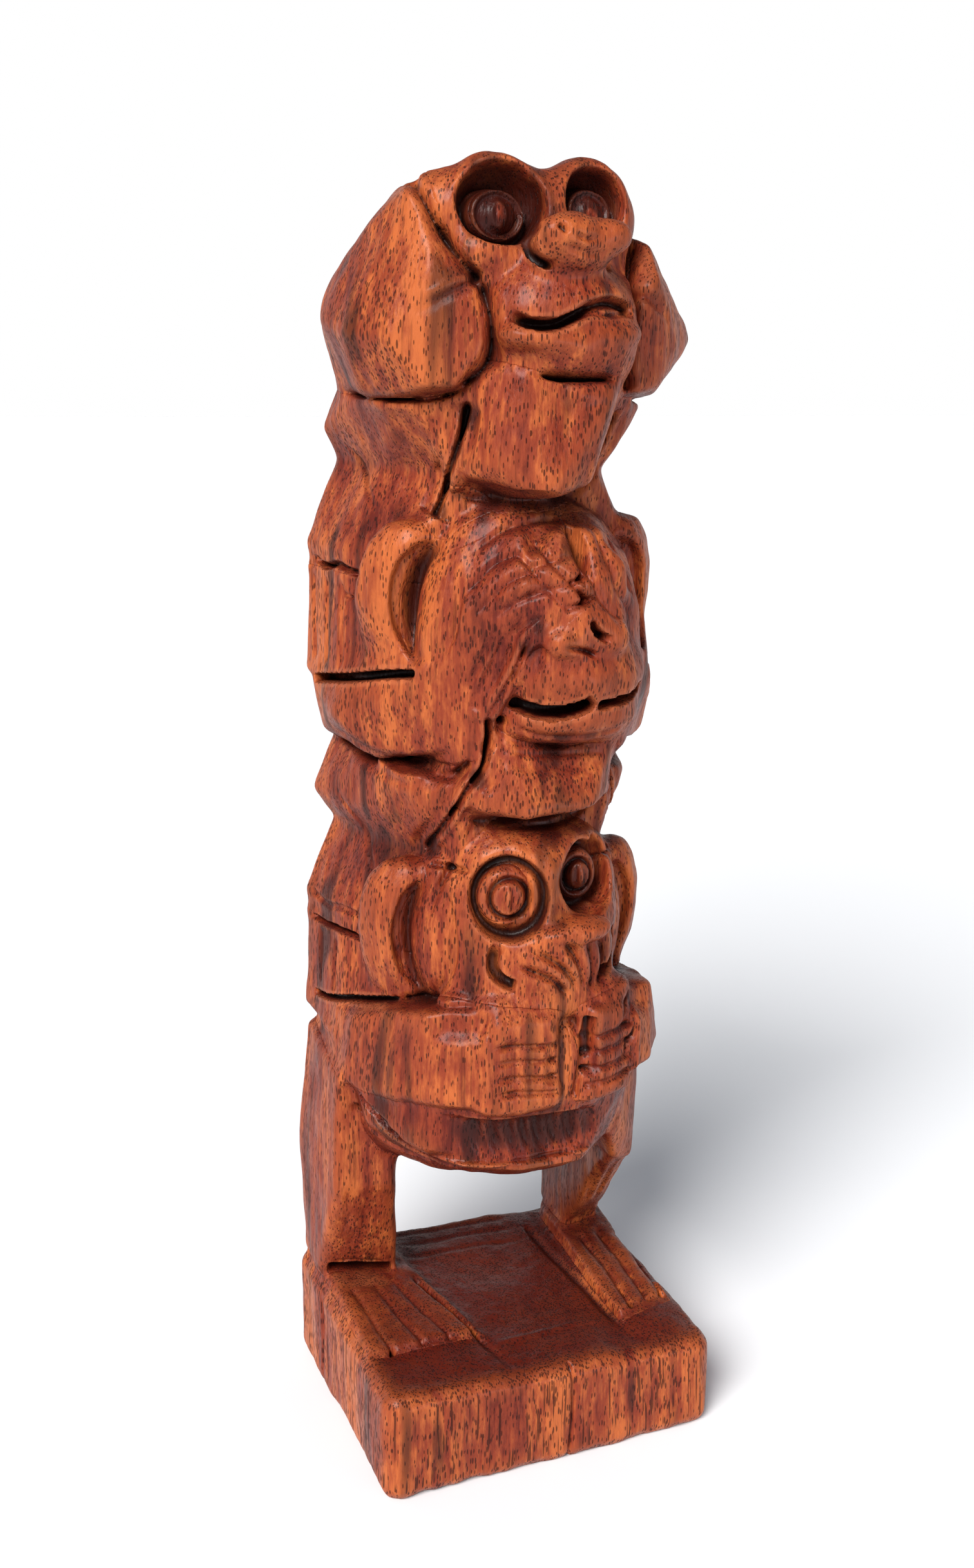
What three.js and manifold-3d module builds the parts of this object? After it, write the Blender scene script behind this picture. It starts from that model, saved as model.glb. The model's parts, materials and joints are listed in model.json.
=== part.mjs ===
// Three wise monkeys: a carved hardwood totem of three crouching monkeys stacked on a square plinth.
// Millimetres, +Z up, origin at the middle of the plinth's underside. The figure faces -Y, and its own
// right hand is on -X. The real carving is a single block of wood: each mesh here is one carved form,
// bounded by the V-cuts that the carver made between the forms.
import * as THREE from "three";
import { ConvexGeometry } from "three/addons/geometries/ConvexGeometry.js";
import { mergeVertices } from "three/addons/utils/BufferGeometryUtils.js";
import Module from "manifold-3d";

const wasm = await Module();
wasm.setup();

// Driving dimensions
const BLOCK_WIDTH = 86; // X
const BLOCK_DEPTH = 72; // Y
const PLINTH_TOP = 26.5; // height of the plinth at its middle
const PLINTH_TILT = [-0.04, 0.03]; // slope of its hand-cut top along X and Y
const CORNER = 5; // rounding of the plinth's upright corners
const EDGE = 2.5; // rounding of its top and bottom edges
const CUT = 0.35; // gap left between two forms that touch
const TIER = 86; // rise from one monkey's knees to the next one's
const AXIS = -1.5; // the two upper monkeys stand this far off the block's middle
const FACETS = [12, 8]; // facets round and up a rounded form
const FINE = [20, 12]; // the same on the heads
const BROW = [16, 10]; // and on the brows

// ---------------------------------------------------------------- solids
function solidOf(geometry) {
  const bare = geometry.index ? geometry.toNonIndexed() : geometry.clone();
  for (const name of ["normal", "uv", "tangent"]) bare.deleteAttribute(name);
  const merged = mergeVertices(bare, 1e-3);
  return new wasm.Manifold(
    new wasm.Mesh({
      numProp: 3,
      vertProperties: new Float32Array(merged.attributes.position.array),
      triVerts: new Uint32Array(merged.index.array),
    }),
  );
}

// A primitive is a function of the amount it is grown by, so that its neighbours can be cut back from it.
const ball = (centre, radii, turn = [0, 0, 0], facets = FACETS) => (grow) => {
  const shape = new THREE.SphereGeometry(1, ...facets);
  shape.rotateX(Math.PI / 2);
  shape.scale(...radii.map((r) => r + grow));
  const [tiltX, tiltY, tiltZ] = turn.map(THREE.MathUtils.degToRad);
  shape.rotateX(tiltX).rotateY(tiltY).rotateZ(tiltZ);
  return solidOf(shape.translate(...centre));
};

const hull = (points) => (grow) => {
  const box = new THREE.Box3().setFromPoints(points.map((p) => new THREE.Vector3(...p)));
  const middle = box.getCenter(new THREE.Vector3());
  const half = box.getSize(new THREE.Vector3()).multiplyScalar(0.5);
  const vectors = points.map((p) => {
    const v = new THREE.Vector3(...p).sub(middle);
    return v.set(
      v.x * (1 + grow / half.x),
      v.y * (1 + grow / half.y),
      v.z * (1 + grow / half.z),
    ).add(middle);
  });
  return solidOf(new ConvexGeometry(vectors));
};

// A straight bar from a to b with a many-sided section: used to cut the gashes of the mouths.
const bar = (a, b, radius, sides = 5) => (grow) => {
  const from = new THREE.Vector3(...a);
  const along = new THREE.Vector3(...b).sub(from);
  const shape = new THREE.CylinderGeometry(radius + grow, radius + grow, along.length(), sides);
  shape.translate(0, along.length() / 2, 0);
  shape.applyQuaternion(
    new THREE.Quaternion().setFromUnitVectors(new THREE.Vector3(0, 1, 0), along.normalize()),
  );
  return solidOf(shape.translate(...a));
};

const join = (makers, grow = 0) => makers.map((m) => m(grow)).reduce((a, b) => a.add(b));

// ---------------------------------------------------------------- forms
// Detail forms come first: each later form is cut back from every form before it.
const forms = [];
const form = (name, adds, cuts = []) => forms.push({ name, adds, cuts });

const SIDES = [
  ["right", -1],
  ["left", 1],
];
// Points given for one side, with x measured outwards from the axis.
const onSide = (side, axis, points) => points.map(([x, y, z]) => [axis + side * x, y, z]);

// Eyes: side, direction and the middle of the eyeball
const HEAR_EYES = [
  ["right", -1, [-12.8, -17.5, 288.4]],
  ["left", 1, [9.2, -17.5, 288.4]],
];
const SPEAK_EYES = [
  ["right", -1, [-11.8, -22.5, 142.7]],
  ["left", 1, [8.2, -23, 144.5]],
];
const HANDS_MEET = 2.5; // where the bottom monkey's fingertips meet

function topOfPlinth(x, y) {
  return PLINTH_TOP + PLINTH_TILT[0] * x + PLINTH_TILT[1] * y;
}

// Top monkey: hands over the ears, head tipped back
function hearMonkey() {
  for (const [side, , at] of HEAR_EYES) {
    form(`hear_${side}_eye`, [ball(at, [7.4, 3.4, 7.4], [-12, 0, 0])]);
  }
  form(
    "hear_head",
    [
      ball([-11.5, -12, 288.2], [12, 11.5, 11.8], [0, 0, 0], BROW),
      ball([8.5, -12, 287.8], [11.5, 11.5, 11.6], [0, 0, 0], BROW),
      ball([-1.5, 2, 277.5], [27.5, 25, 21], [0, 0, 0], FINE),
      ball([1, -13, 267], [19.5, 20, 14], [0, 0, 0], FINE),
      ball([2.5, -17, 260.5], [16.5, 16.5, 8.5]),
      ball([-1, -28, 281], [11, 6.2, 6], [-20, 0, 0]),
    ],
    [
      ...HEAR_EYES.map(([, s, [x, y, z]]) =>
        ball([x, y - 6.5, z + 0.4], [9.3 - 0.3 * s, 7.5, 9.7], [-12, 0, 0]),
      ),
      bar([-19, -28, 268.4], [-7, -38, 267.2], 1.5),
      bar([-7, -38, 267.2], [6, -40, 271], 1.3),
      bar([6, -40, 271], [22, -26, 268.5], 1.3),
    ],
  );
  const lump = (s, crown, elbow) =>
    onSide(s, AXIS, [
      [27, -12, crown],
      [24, 4, crown + 1.5],
      [22, 20, crown - 1],
      [33, 2, crown - 8],
      [36, 22, 272],
      [elbow, -3, 263],
      [elbow, 12, 266],
      [35.5, 27, 265],
      [29.5, -12, 250.5],
      [33.5, 2, 249.5],
      [31.5, 24, 251],
      [16.5, -20, 273],
      [15.5, -21.5, 262],
      [20, -20.5, 252],
      [28, -18, 253],
      [34, -14, 262],
      [26, -19, 276],
      [28, 30.5, 276],
      [30, 31.5, 258],
      [10, 0, 268],
      [14, 31, 270],
      [12, 0, 252],
      [16, 31, 252],
    ]);
  form("hear_right_arm", [hull(lump(-1, 292.5, 39.5))]);
  form("hear_left_arm", [hull(lump(1, 284, 43.5))]);
  form("hear_chest", [
    hull([
      [-17, -20, 257],
      [18, -19, 257],
      [-10, -27, 256],
      [10, -29, 256],
      [8, -31, 250],
      [-21, -17, 235],
      [11, -17, 235],
      [-15, -26, 236],
      [-6, -32.5, 230],
      [5, -28, 233],
      [-17, 12, 257],
      [18, 12, 257],
      [-17, 12, 230],
      [11, 12, 230],
    ]),
  ]);
}

// The crouching legs at the sides of the two upper monkeys, and the grooved feet under them.
// Their outer face runs slantwise from the back corner of the block to the V-cut beside the chest.
function crouch(name, lift, slim, bulge) {
  for (const [side, s] of SIDES) {
    const at = (share, points) =>
      onSide(s, AXIS, points.map(([x, y, z]) => [x - slim * share, y, z + lift]));
    form(`${name}_${side}_foot`, [
      hull(
        at(0.3, [
          [38, 32, 124],
          [36, 13, 124],
          [26, -7, 124],
          [14, 32, 124],
          [14, -4, 124],
          [39, 33, 99.5],
          [38, 10, 99.5],
          [28, -8, 99.5],
          [14, 32, 99.5],
          [14, -4, 99.5],
        ]),
      ),
    ]);
    form(`${name}_${side}_leg`, [
      hull([
        ...at(1, [
          [32, 31, 169],
          [31.5 + bulge / 2, 4, 168],
          [28 + bulge, -9, 167],
          [18, -19, 168],
          [37.5, 32, 156],
          [32.5, 8, 157],
          [24 + bulge / 2, -11, 158],
          [18, -19, 160],
          [4, -10, 169],
          [12, 30, 169],
        ]),
        ...at(0.6, [
          [32, 32, 148],
          [28, 8, 148],
          [17, -14, 148],
          [4, -10, 148],
          [12, 30, 148],
        ]),
      ]),
      hull([
        ...at(0.6, [
          [32, 32, 149.5],
          [28, 8, 149.5],
          [17, -14, 149.5],
          [4, -10, 149.5],
          [12, 30, 149.5],
        ]),
        ...at(0.3, [
          [39, 33, 130],
          [36, 12, 130],
          [26, -8, 134],
          [37.5, 33, 124.5],
          [35, 12, 124.5],
          [25, -7, 124.5],
          [4, -10, 124.5],
          [12, 30, 124.5],
        ]),
      ]),
    ]);
  }
}

// A scooped ear: a thick flap standing off the slanted side of the head, hollowed towards the cheek
function ear(name, s, [x, y, z]) {
  form(
    name,
    [ball([x, y, z], [12, 7, 18], [6, 0, s * 44])],
    [ball([x - s * 3.6, y - 6.2, z], [9.5, 6, 13.5], [6, 0, s * 40])],
  );
}

// Middle monkey: hands over the eyes
function seeMonkey() {
  for (const [side, s] of SIDES) {
    ear(`see_${side}_ear`, s, [AXIS + s * 26, -4.2, 206.5]);
    form(`see_${side}_arm`, [
      hull(
        onSide(s, 0, [
          [37.5, 32, 183.5],
          [35, 32, 170.5],
          [39.5, 25, 184],
          [39, 6, 185],
          [37.5, 25, 172],
          [16, 32, 183.5],
          [16, 32, 170.5],
          [33, -2, 170.5],
          [41, 8, 179],
          [18, -22, 173],
          [17, -24, 186],
          [30, -12, 187],
          [22, -22, 205],
          [22, -16, 216],
          [10, -31, 214],
          [10, -29, 196],
          [8, -25, 224],
          [6, 0, 184],
          [6, 0, 174],
          [6, 0, 214],
          [20, 10, 184],
          [20, 20, 174],
        ]),
      ),
      hull([
        [2 + s * 1, -34, 212],
        [2 + s * 1, -33, 203],
        [2 + s * 12, -29, 216],
        [2 + s * 12, -30, 198],
        [2 + s * 2, -27, 224],
        [2 + s * 1, -10, 222],
        [2 + s * 1, -10, 203],
        [2 + s * 12, -10, 220],
        [2 + s * 12, -10, 198],
      ]),
    ]);
  }
  form(
    "see_head",
    [
      ball([-1.5, -6, 205], [25, 25.5, 22]),
      ball([4, -15, 192], [20.5, 20.5, 14.5]),
      ball([4, -17, 183], [19, 17, 8]),
      ball([4.5, -30, 202.5], [9, 5.5, 6.5], [20, 0, 0]),
    ],
    [
      bar([-18, -28, 188.5], [-8, -38, 186], 1.5),
      bar([-8, -38, 186], [4, -40, 188.5], 1.5),
      bar([4, -40, 187.5], [24, -29, 189], 1.2),
    ],
  );
  form("see_chest", [
    hull([
      [-15, -22, 181],
      [16, -22, 181],
      [-10, -25, 176],
      [12, -25, 176],
      [-22, -20, 163],
      [17, -20, 163],
      [-8, -30, 161],
      [8, -30, 162],
      [-20, 12, 181],
      [16, 12, 181],
      [-20, 12, 156],
      [16, 12, 156],
    ]),
  ]);
}

// Bottom monkey: hands over the mouth
function speakMonkey() {
  for (const [side, , at] of SPEAK_EYES) {
    form(`speak_${side}_eye`, [ball(at, [7, 3.4, 7])]);
  }
  for (const [side, s] of SIDES) {
    ear(`speak_${side}_ear`, s, [AXIS + s * 26, -4.2, 129.5]);
    const knuckle = HANDS_MEET + s * 1.5;
    const heel = s < 0 ? 94 : 97;
    form(`speak_${side}_arm`, [
      hull([
        [s * 36.5, 33, 88],
        [s * 37.5, 33, 102],
        [s * 38, 26, 88],
        [s * 38.5, 27, 104],
        [s * 41, 2, 91],
        [s * (s < 0 ? 39 : 36), 0, s < 0 ? 108 : 104],
        [s * 37, -10, heel - 2],
        [s * 33, -18, heel],
        [s * 27, -25, heel],
        [s * 29, -21, 116],
        [s * 18, -31, heel],
        [s * 18, -31, 117],
        [s * 10, -8, heel],
        [s * 10, -8, 117],
        [s * 16, 32, 90],
        [s * 16, 32, 102],
      ]),
      hull([
        [s * 19, -30, 93],
        [s * 20, -29, 116],
        [knuckle + s * 2, -34, 93.5],
        [knuckle + s * 4, -34, 115.5],
        [s * 16, -32.5, 95],
        [s * 16, -32.5, 114],
        [knuckle, -10, 95],
        [knuckle, -10, 115],
        [knuckle, -31, 94],
        [knuckle + s * 1.5, -31, 115],
        [s * 19, -10, 95],
        [s * 19, -10, 115],
      ]),
    ]);
  }
  form(
    "speak_head",
    [
      ball([-1, -5, 134], [27, 25.5, 25]),
      ball([-1, -14, 146], [20, 16, 11.5]),
      hull(
        SIDES.flatMap(([, s]) =>
          onSide(s, -1, [
            [23, -12, 147],
            [25.5, -11, 137],
            [26.5, -11, 112],
            [13, -25, 142],
            [15, -26.5, 130],
            [16, -26.5, 112],
            [8, -29, 112],
            [20, 6, 147],
            [22, 6, 112],
          ]),
        ),
      ),
      ball([-0.5, -25, 125], [13, 9, 12], [10, 0, 0]),
    ],
    SPEAK_EYES.map(([, s, [x, y, z]]) => ball([x, y - 6.5, z + 0.3], [8.7 - 0.3 * s, 8, 9.3])),
  );
  form("speak_belly", [
    hull([
      [-36, -1, 96],
      [30, -4, 96],
      [-28, -20, 97],
      [24, -24, 97],
      [-14, -29.5, 97],
      [10, -30.5, 97],
      [-39, -4, 89],
      [-38, -5, 83],
      [-31.5, -3, 74],
      [-30, -20, 82],
      [-20, -26, 78],
      [-6, -28.5, 76],
      [8, -28, 75.5],
      [17, -21, 76],
      [24, -4, 78],
      [-22, -12, 71],
      [-6, -20, 70],
      [8, -18, 69],
      [-26, 22, 64],
      [24, 22, 64],
      [-28, 30, 96],
      [26, 30, 96],
    ]),
  ]);
}

// Legs and feet of the bottom monkey, with the open space between them
function standing() {
  form("right_leg", [
    hull([
      [-42.9, 17, 31.5],
      [-24, 11, 31.5],
      [-41, 34, 31.5],
      [-25, 34, 31.5],
      [-42.7, 4, 60],
      [-28, 3, 60],
      [-42.7, 34, 60],
      [-27, 35, 60],
      [-41.5, 3, 91],
      [-28, 3, 91],
      [-40, 34, 94],
      [-22, 34, 94],
    ]),
  ]);
  form("left_leg", [
    hull([
      [37, 19, 30.5],
      [27, 17, 30.5],
      [39, 34, 30.5],
      [27, 34, 30.5],
      [32.5, -9, 64],
      [25, -10, 64],
      [37, 10, 64],
      [39, 34, 64],
      [27.5, 34, 64],
    ]),
    hull([
      [32.5, -9, 62],
      [24, -14, 66],
      [38, 8, 62],
      [39, 34, 60],
      [27.5, 34, 60],
      [33, -8, 92],
      [18, -22, 78],
      [17, -26, 92],
      [29, -14, 92],
      [38, 34, 94],
      [22, 34, 94],
    ]),
  ]);
  form("right_foot", [
    hull([
      [-40, 30, 31],
      [-23, 30, 31],
      [-40, 11, 31],
      [-20.5, 11, 31],
      [-41, -17, 29.5],
      [-14, -17.5, 29],
      [-40, 30, 27],
      [-23, 30, 27],
      [-41, -18.5, 26],
      [-13, -18.5, 26],
    ]),
  ]);
  form("left_foot", [
    hull([
      [40.5, 30, 30],
      [26, 30, 30],
      [39.5, 8, 30],
      [25, 20, 30],
      [38.5, -17.5, 28.5],
      [23, -22, 28],
      [40.5, 30, 26],
      [26, 30, 26],
      [38.5, -19, 25],
      [23, -23, 25],
    ]),
  ]);
}

// The backs: one rounded form behind each monkey, between its legs
function backs() {
  const back = (name, axis, [neck, shoulder, waist, seat]) =>
    form(name, [
      hull(
        [-1, 1].flatMap((s) =>
          onSide(s, axis, [
            [12, 24, neck],
            [22, 31, shoulder],
            [14, 35, shoulder - 8],
            [24, 33.5, waist],
            [13, 35.6, waist],
            [20, 33, seat],
            [18, 4, neck - 2],
            [18, 4, seat],
          ]),
        ),
      ),
    ]);
  back("hear_back", AXIS, [290, 276, 246, 227.5]);
  back("see_back", AXIS, [226, 210, 164, 142]);
  back("speak_back", 0, [141, 128, 104, 86]);
}

function plinth() {
  const ring = (inset, height) => {
    const points = [];
    const halfX = BLOCK_WIDTH / 2 - CORNER;
    const halfY = BLOCK_DEPTH / 2 - CORNER;
    for (let i = 0; i < 16; i++) {
      const angle = (i * Math.PI) / 8 + Math.PI / 16;
      const x = Math.sign(Math.cos(angle)) * halfX + (CORNER - inset) * Math.cos(angle);
      const y = Math.sign(Math.sin(angle)) * halfY + (CORNER - inset) * Math.sin(angle);
      points.push([x, y, height(x, y)]);
    }
    return points;
  };
  form("base_plinth", [
    hull([
      ...ring(EDGE * 0.6, () => 0),
      ...ring(0, () => EDGE),
      ...ring(0, (x, y) => topOfPlinth(x, y) - EDGE),
      ...ring(EDGE * 0.8, topOfPlinth),
    ]),
  ]);
}

hearMonkey();
crouch("hear", TIER, 3.5, 7);
seeMonkey();
crouch("see", 0, 0, 0);
speakMonkey();
standing();
backs();
plinth();

// ---------------------------------------------------------------- meshes
// One hardwood throughout: its colour and roughness differ a little with how each form was cut and oiled.
// A form's wood goes by the last word of its name, and every form not named here is limb wood.
const LIMB_WOOD = [0x8c4128, 0.45];
const WOODS = {
  head: [0x9a4a2c, 0.42],
  ear: [0x9a4a2c, 0.42],
  belly: [0x8f432c, 0.4],
  back: [0x7c3a26, 0.5],
  eye: [0x5a2418, 0.4],
  plinth: [0x95492b, 0.45],
};

// Each form loses what earlier forms hold, grown by the cut between them, and keeps its largest body.
const carving = new THREE.Group();
carving.name = "three_wise_monkeys";
const placed = [];
for (const { name, adds, cuts } of forms) {
  let solid = join(adds);
  if (cuts.length) solid = solid.subtract(join(cuts));
  const reach = solid.boundingBox();
  for (const other of placed) {
    const clear = [0, 1, 2].some(
      (i) => other.box.min[i] > reach.max[i] || other.box.max[i] < reach.min[i],
    );
    if (!clear) solid = solid.subtract(other.grown);
  }
  const [body] = solid.decompose().sort((a, b) => b.volume() - a.volume());
  const grown = join(adds, CUT);
  placed.push({ grown, box: grown.boundingBox() });
  const mesh = body.getMesh();
  const geometry = new THREE.BufferGeometry()
    .setAttribute("position", new THREE.BufferAttribute(mesh.vertProperties, 3))
    .setIndex(new THREE.BufferAttribute(mesh.triVerts, 1));
  geometry.computeVertexNormals();
  const [color, roughness] = WOODS[name.split("_").at(-1)] ?? LIMB_WOOD;
  const piece = new THREE.Mesh(
    geometry,
    new THREE.MeshStandardMaterial({ color, roughness, metalness: 0 }),
  );
  piece.name = name;
  carving.add(piece);
}

export default carving;
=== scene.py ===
"""The looks of a carved hardwood totem of three crouching monkeys.

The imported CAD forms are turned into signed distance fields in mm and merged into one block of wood, softened
as a knife and wear soften it. Grooves, scoops and lumps are then carved into the block, each from the surface
that is there. Last, the block is shared out again between the CAD forms, and each share is meshed.
"""

import json
import math
from concurrent.futures import ThreadPoolExecutor

import bpy
import numpy as np
import openvdb
from mathutils import Matrix, Vector


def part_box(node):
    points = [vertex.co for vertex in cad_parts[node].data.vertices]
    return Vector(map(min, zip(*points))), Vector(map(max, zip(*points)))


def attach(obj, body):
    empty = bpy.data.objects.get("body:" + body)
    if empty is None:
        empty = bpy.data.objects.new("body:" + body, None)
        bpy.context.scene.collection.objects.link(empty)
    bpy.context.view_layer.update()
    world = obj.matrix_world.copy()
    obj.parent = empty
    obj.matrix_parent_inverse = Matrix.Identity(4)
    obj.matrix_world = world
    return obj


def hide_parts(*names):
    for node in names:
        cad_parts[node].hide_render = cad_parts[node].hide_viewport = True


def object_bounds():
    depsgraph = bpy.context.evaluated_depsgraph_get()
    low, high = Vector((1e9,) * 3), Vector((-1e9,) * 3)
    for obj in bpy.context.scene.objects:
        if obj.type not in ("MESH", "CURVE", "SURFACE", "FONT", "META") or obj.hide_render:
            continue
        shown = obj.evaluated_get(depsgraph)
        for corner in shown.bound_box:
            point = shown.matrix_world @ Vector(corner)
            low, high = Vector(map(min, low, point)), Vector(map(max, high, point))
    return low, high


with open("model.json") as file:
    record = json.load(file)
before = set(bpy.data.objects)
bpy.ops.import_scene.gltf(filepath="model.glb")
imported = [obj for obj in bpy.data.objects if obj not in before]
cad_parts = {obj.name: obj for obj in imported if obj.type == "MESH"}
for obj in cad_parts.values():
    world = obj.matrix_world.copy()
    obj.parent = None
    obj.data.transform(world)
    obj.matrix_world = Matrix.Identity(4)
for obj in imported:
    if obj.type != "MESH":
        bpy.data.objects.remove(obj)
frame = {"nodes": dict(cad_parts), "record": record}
cad_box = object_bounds()

MM = 0.001
VOXEL = 0.45  # mm between lattice points
MARGIN = 6.0  # mm of empty lattice kept round each form
BAND = 8.0  # mm from the surface over which the distance is exact
FILLET = 1.3  # mm by which neighbouring forms run into each other where they meet
SWELL = 0.15  # mm by which the softened forms are let out, to make up for their rounded edges
LAP = 0.15  # mm by which each piece reaches under its neighbours, so that no seam opens between them
EYE_FILLET = 0.3  # the same where an eyeball meets its socket
FADE = 1.5  # mm over which a cut fades out at the end of its reach
WORKERS = 4

# How far each kind of form is softened, as the sigma of a Gaussian in mm
SOFTEN = {
    "head": 1.6,
    "eye": 0.5,
    "ear": 0.8,
    "arm": 1.0,
    "leg": 0.9,
    "foot": 0.7,
    "chest": 1.2,
    "belly": 1.0,
    "back": 1.4,
    "plinth": 0.8,
}


def kind_of(name):
    return name.split("_")[-1]


# ---- distance fields
def blur(field, sigma):
    """A Gaussian blur along each axis, sigma in lattice steps, with the edge values carried outwards."""
    reach = max(1, int(math.ceil(2.6 * sigma)))
    steps = np.arange(-reach, reach + 1)
    weights = np.exp(-0.5 * (steps / sigma) ** 2)
    weights /= weights.sum()
    for axis in range(3):
        padding = [(0, 0)] * 3
        padding[axis] = (reach, reach)
        padded = np.pad(field, padding, mode="edge")
        size = field.shape[axis]
        total = np.zeros_like(field)
        for k, weight in enumerate(weights):
            window = [slice(None)] * 3
            window[axis] = slice(k, k + size)
            total += np.float32(weight) * padded[tuple(window)]
        field = total
    return field


class Field:
    """Values on a box of the shared lattice, whose first point has the lattice index low."""

    def __init__(self, low, values):
        self.low = low
        self.values = values

    @property
    def high(self):
        return self.low + np.array(self.values.shape)

    def shared(self, other):
        """The slices of this field and of the other one that cover the same points."""
        first = np.maximum(self.low, other.low)
        last = np.minimum(self.high, other.high)
        mine = tuple(slice(a - o, b - o) for a, b, o in zip(first, last, self.low))
        theirs = tuple(slice(a - o, b - o) for a, b, o in zip(first, last, other.low))
        return mine, theirs

    def window(self, low, high):
        """The part in a box in mm: its slices, and x, y and z as arrays that broadcast."""
        first = np.maximum(np.floor(np.asarray(low) / VOXEL).astype(int), self.low)
        last = np.minimum(np.ceil(np.asarray(high) / VOXEL).astype(int) + 1, self.high)
        slices = tuple(slice(a - o, b - o) for a, b, o in zip(first, last, self.low))
        axes = [np.arange(a, b, dtype=np.float32) * np.float32(VOXEL) for a, b in zip(first, last)]
        return slices, (axes[0][:, None, None], axes[1][None, :, None], axes[2][None, None, :])


def field_of(name):
    """The softened distance field of one CAD form."""
    mesh = frame["nodes"][name].data
    points = np.empty(len(mesh.vertices) * 3, np.float32)
    mesh.vertices.foreach_get("co", points)
    points = (points.reshape(-1, 3) / MM).astype(np.float32)
    mesh.calc_loop_triangles()
    triangles = np.empty(len(mesh.loop_triangles) * 3, np.int32)
    mesh.loop_triangles.foreach_get("vertices", triangles)
    grid = openvdb.FloatGrid.createLevelSetFromPolygons(
        points,
        triangles=triangles.reshape(-1, 3).astype(np.uint32),
        transform=openvdb.createLinearTransform(voxelSize=VOXEL),
        halfWidth=BAND / VOXEL,
    )
    low = np.floor((points.min(0) - MARGIN) / VOXEL).astype(int)
    size = np.ceil((points.max(0) + MARGIN) / VOXEL).astype(int) - low + 1
    values = np.full(size, BAND, np.float32)
    grid.copyToArray(values, ijk=tuple(int(i) for i in low))
    return Field(low, blur(values, SOFTEN[kind_of(name)] / VOXEL) - np.float32(SWELL))


def smooth_min(a, b, blend):
    if blend <= 0:
        return np.minimum(a, b)
    h = np.clip(0.5 + 0.5 * (b - a) / blend, 0, 1)
    return b + (a - b) * h - blend * h * (1 - h)


def merged(forms):
    """The forms run into one block, with how far the nearest and second nearest form are at each point."""
    low = np.min([form.low for form in forms.values()], 0)
    size = np.max([form.high for form in forms.values()], 0) - low
    total = Field(low, np.zeros(size, np.float32))
    for name, form in forms.items():
        if kind_of(name) != "eye":
            mine, theirs = total.shared(form)
            total.values[mine] += np.exp(form.values[theirs] * np.float32(-1 / FILLET))
    block = Field(low, np.full(size, np.float32(MARGIN)))
    touched = total.values > np.exp(-MARGIN / FILLET)
    block.values[touched] = np.float32(-FILLET) * np.log(total.values[touched])
    nearest = Field(low, np.full(size, np.float32(3 * BAND)))
    second = Field(low, nearest.values.copy())
    for name, form in forms.items():
        mine, theirs = block.shared(form)
        value = form.values[theirs]
        second.values[mine] = np.minimum(second.values[mine], np.maximum(nearest.values[mine], value))
        nearest.values[mine] = np.minimum(nearest.values[mine], value)
        if kind_of(name) == "eye":
            block.values[mine] = smooth_min(block.values[mine], value, np.float32(EYE_FILLET))
    return block, nearest, second


# ---- carving tools
def smooth_curve(points, steps=5):
    """Points along a Catmull-Rom curve through the given points."""
    pts = [np.array(p, float) for p in points]
    if len(pts) < 3:
        return pts
    padded = [2 * pts[0] - pts[1], *pts, 2 * pts[-1] - pts[-2]]
    out = []
    for a, b, c, d in zip(padded, padded[1:], padded[2:], padded[3:]):
        for k in range(steps):
            t = k / steps
            bend = (2 * a - 5 * b + 4 * c - d) * t**2 + (3 * b - a - 3 * c + d) * t**3
            out.append(0.5 * (2 * b + (c - a) * t + bend))
    out.append(pts[-1])
    return out


def ramp(value, low, high):
    """0 below low, 1 above high, and a smooth step between them."""
    t = np.clip((value - low) / (high - low), 0, 1)
    return t * t * (3 - 2 * t)


def cut_shape(d, shape):
    """The depth of a cut, from 1 in its middle to 0 at its side, where d is 1."""
    if shape == "v":
        return np.clip(1 - d, 0, 1)
    if shape == "u":
        return np.sqrt(np.clip(1 - d * d, 0, 1))
    if shape == "crease":
        return np.clip(1 - d, 0, 1) ** 2
    return 0.5 + 0.5 * np.cos(np.pi * np.clip(d, 0, 1))


def ellipsoid(at, centre, radii, turn=(0, 0, 0)):
    """About how far points are from an ellipsoid turned by Euler angles in degrees."""
    matrix = Matrix.Rotation(0, 3, "X")
    for angle, axis in zip(turn, "XYZ"):
        matrix = Matrix.Rotation(math.radians(angle), 3, axis) @ matrix
    rows = np.array(matrix.transposed())
    rel = [c - np.float32(o) for c, o in zip(at, centre)]
    local = [sum(r * np.float32(m) for r, m in zip(rel, row)) for row in rows]
    near = np.sqrt(sum((v / np.float32(r)) ** 2 for v, r in zip(local, radii)))
    steep = np.sqrt(sum((v / np.float32(r * r)) ** 2 for v, r in zip(local, radii)))
    return near * (near - 1) / np.maximum(steep, 1e-6)


# Spots of painted shade, darker than the hollows alone make the wood, and of painted light where the amount is
# below 0: (place in mm, radii in mm, amount in mm)
painted_shades = []


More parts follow.
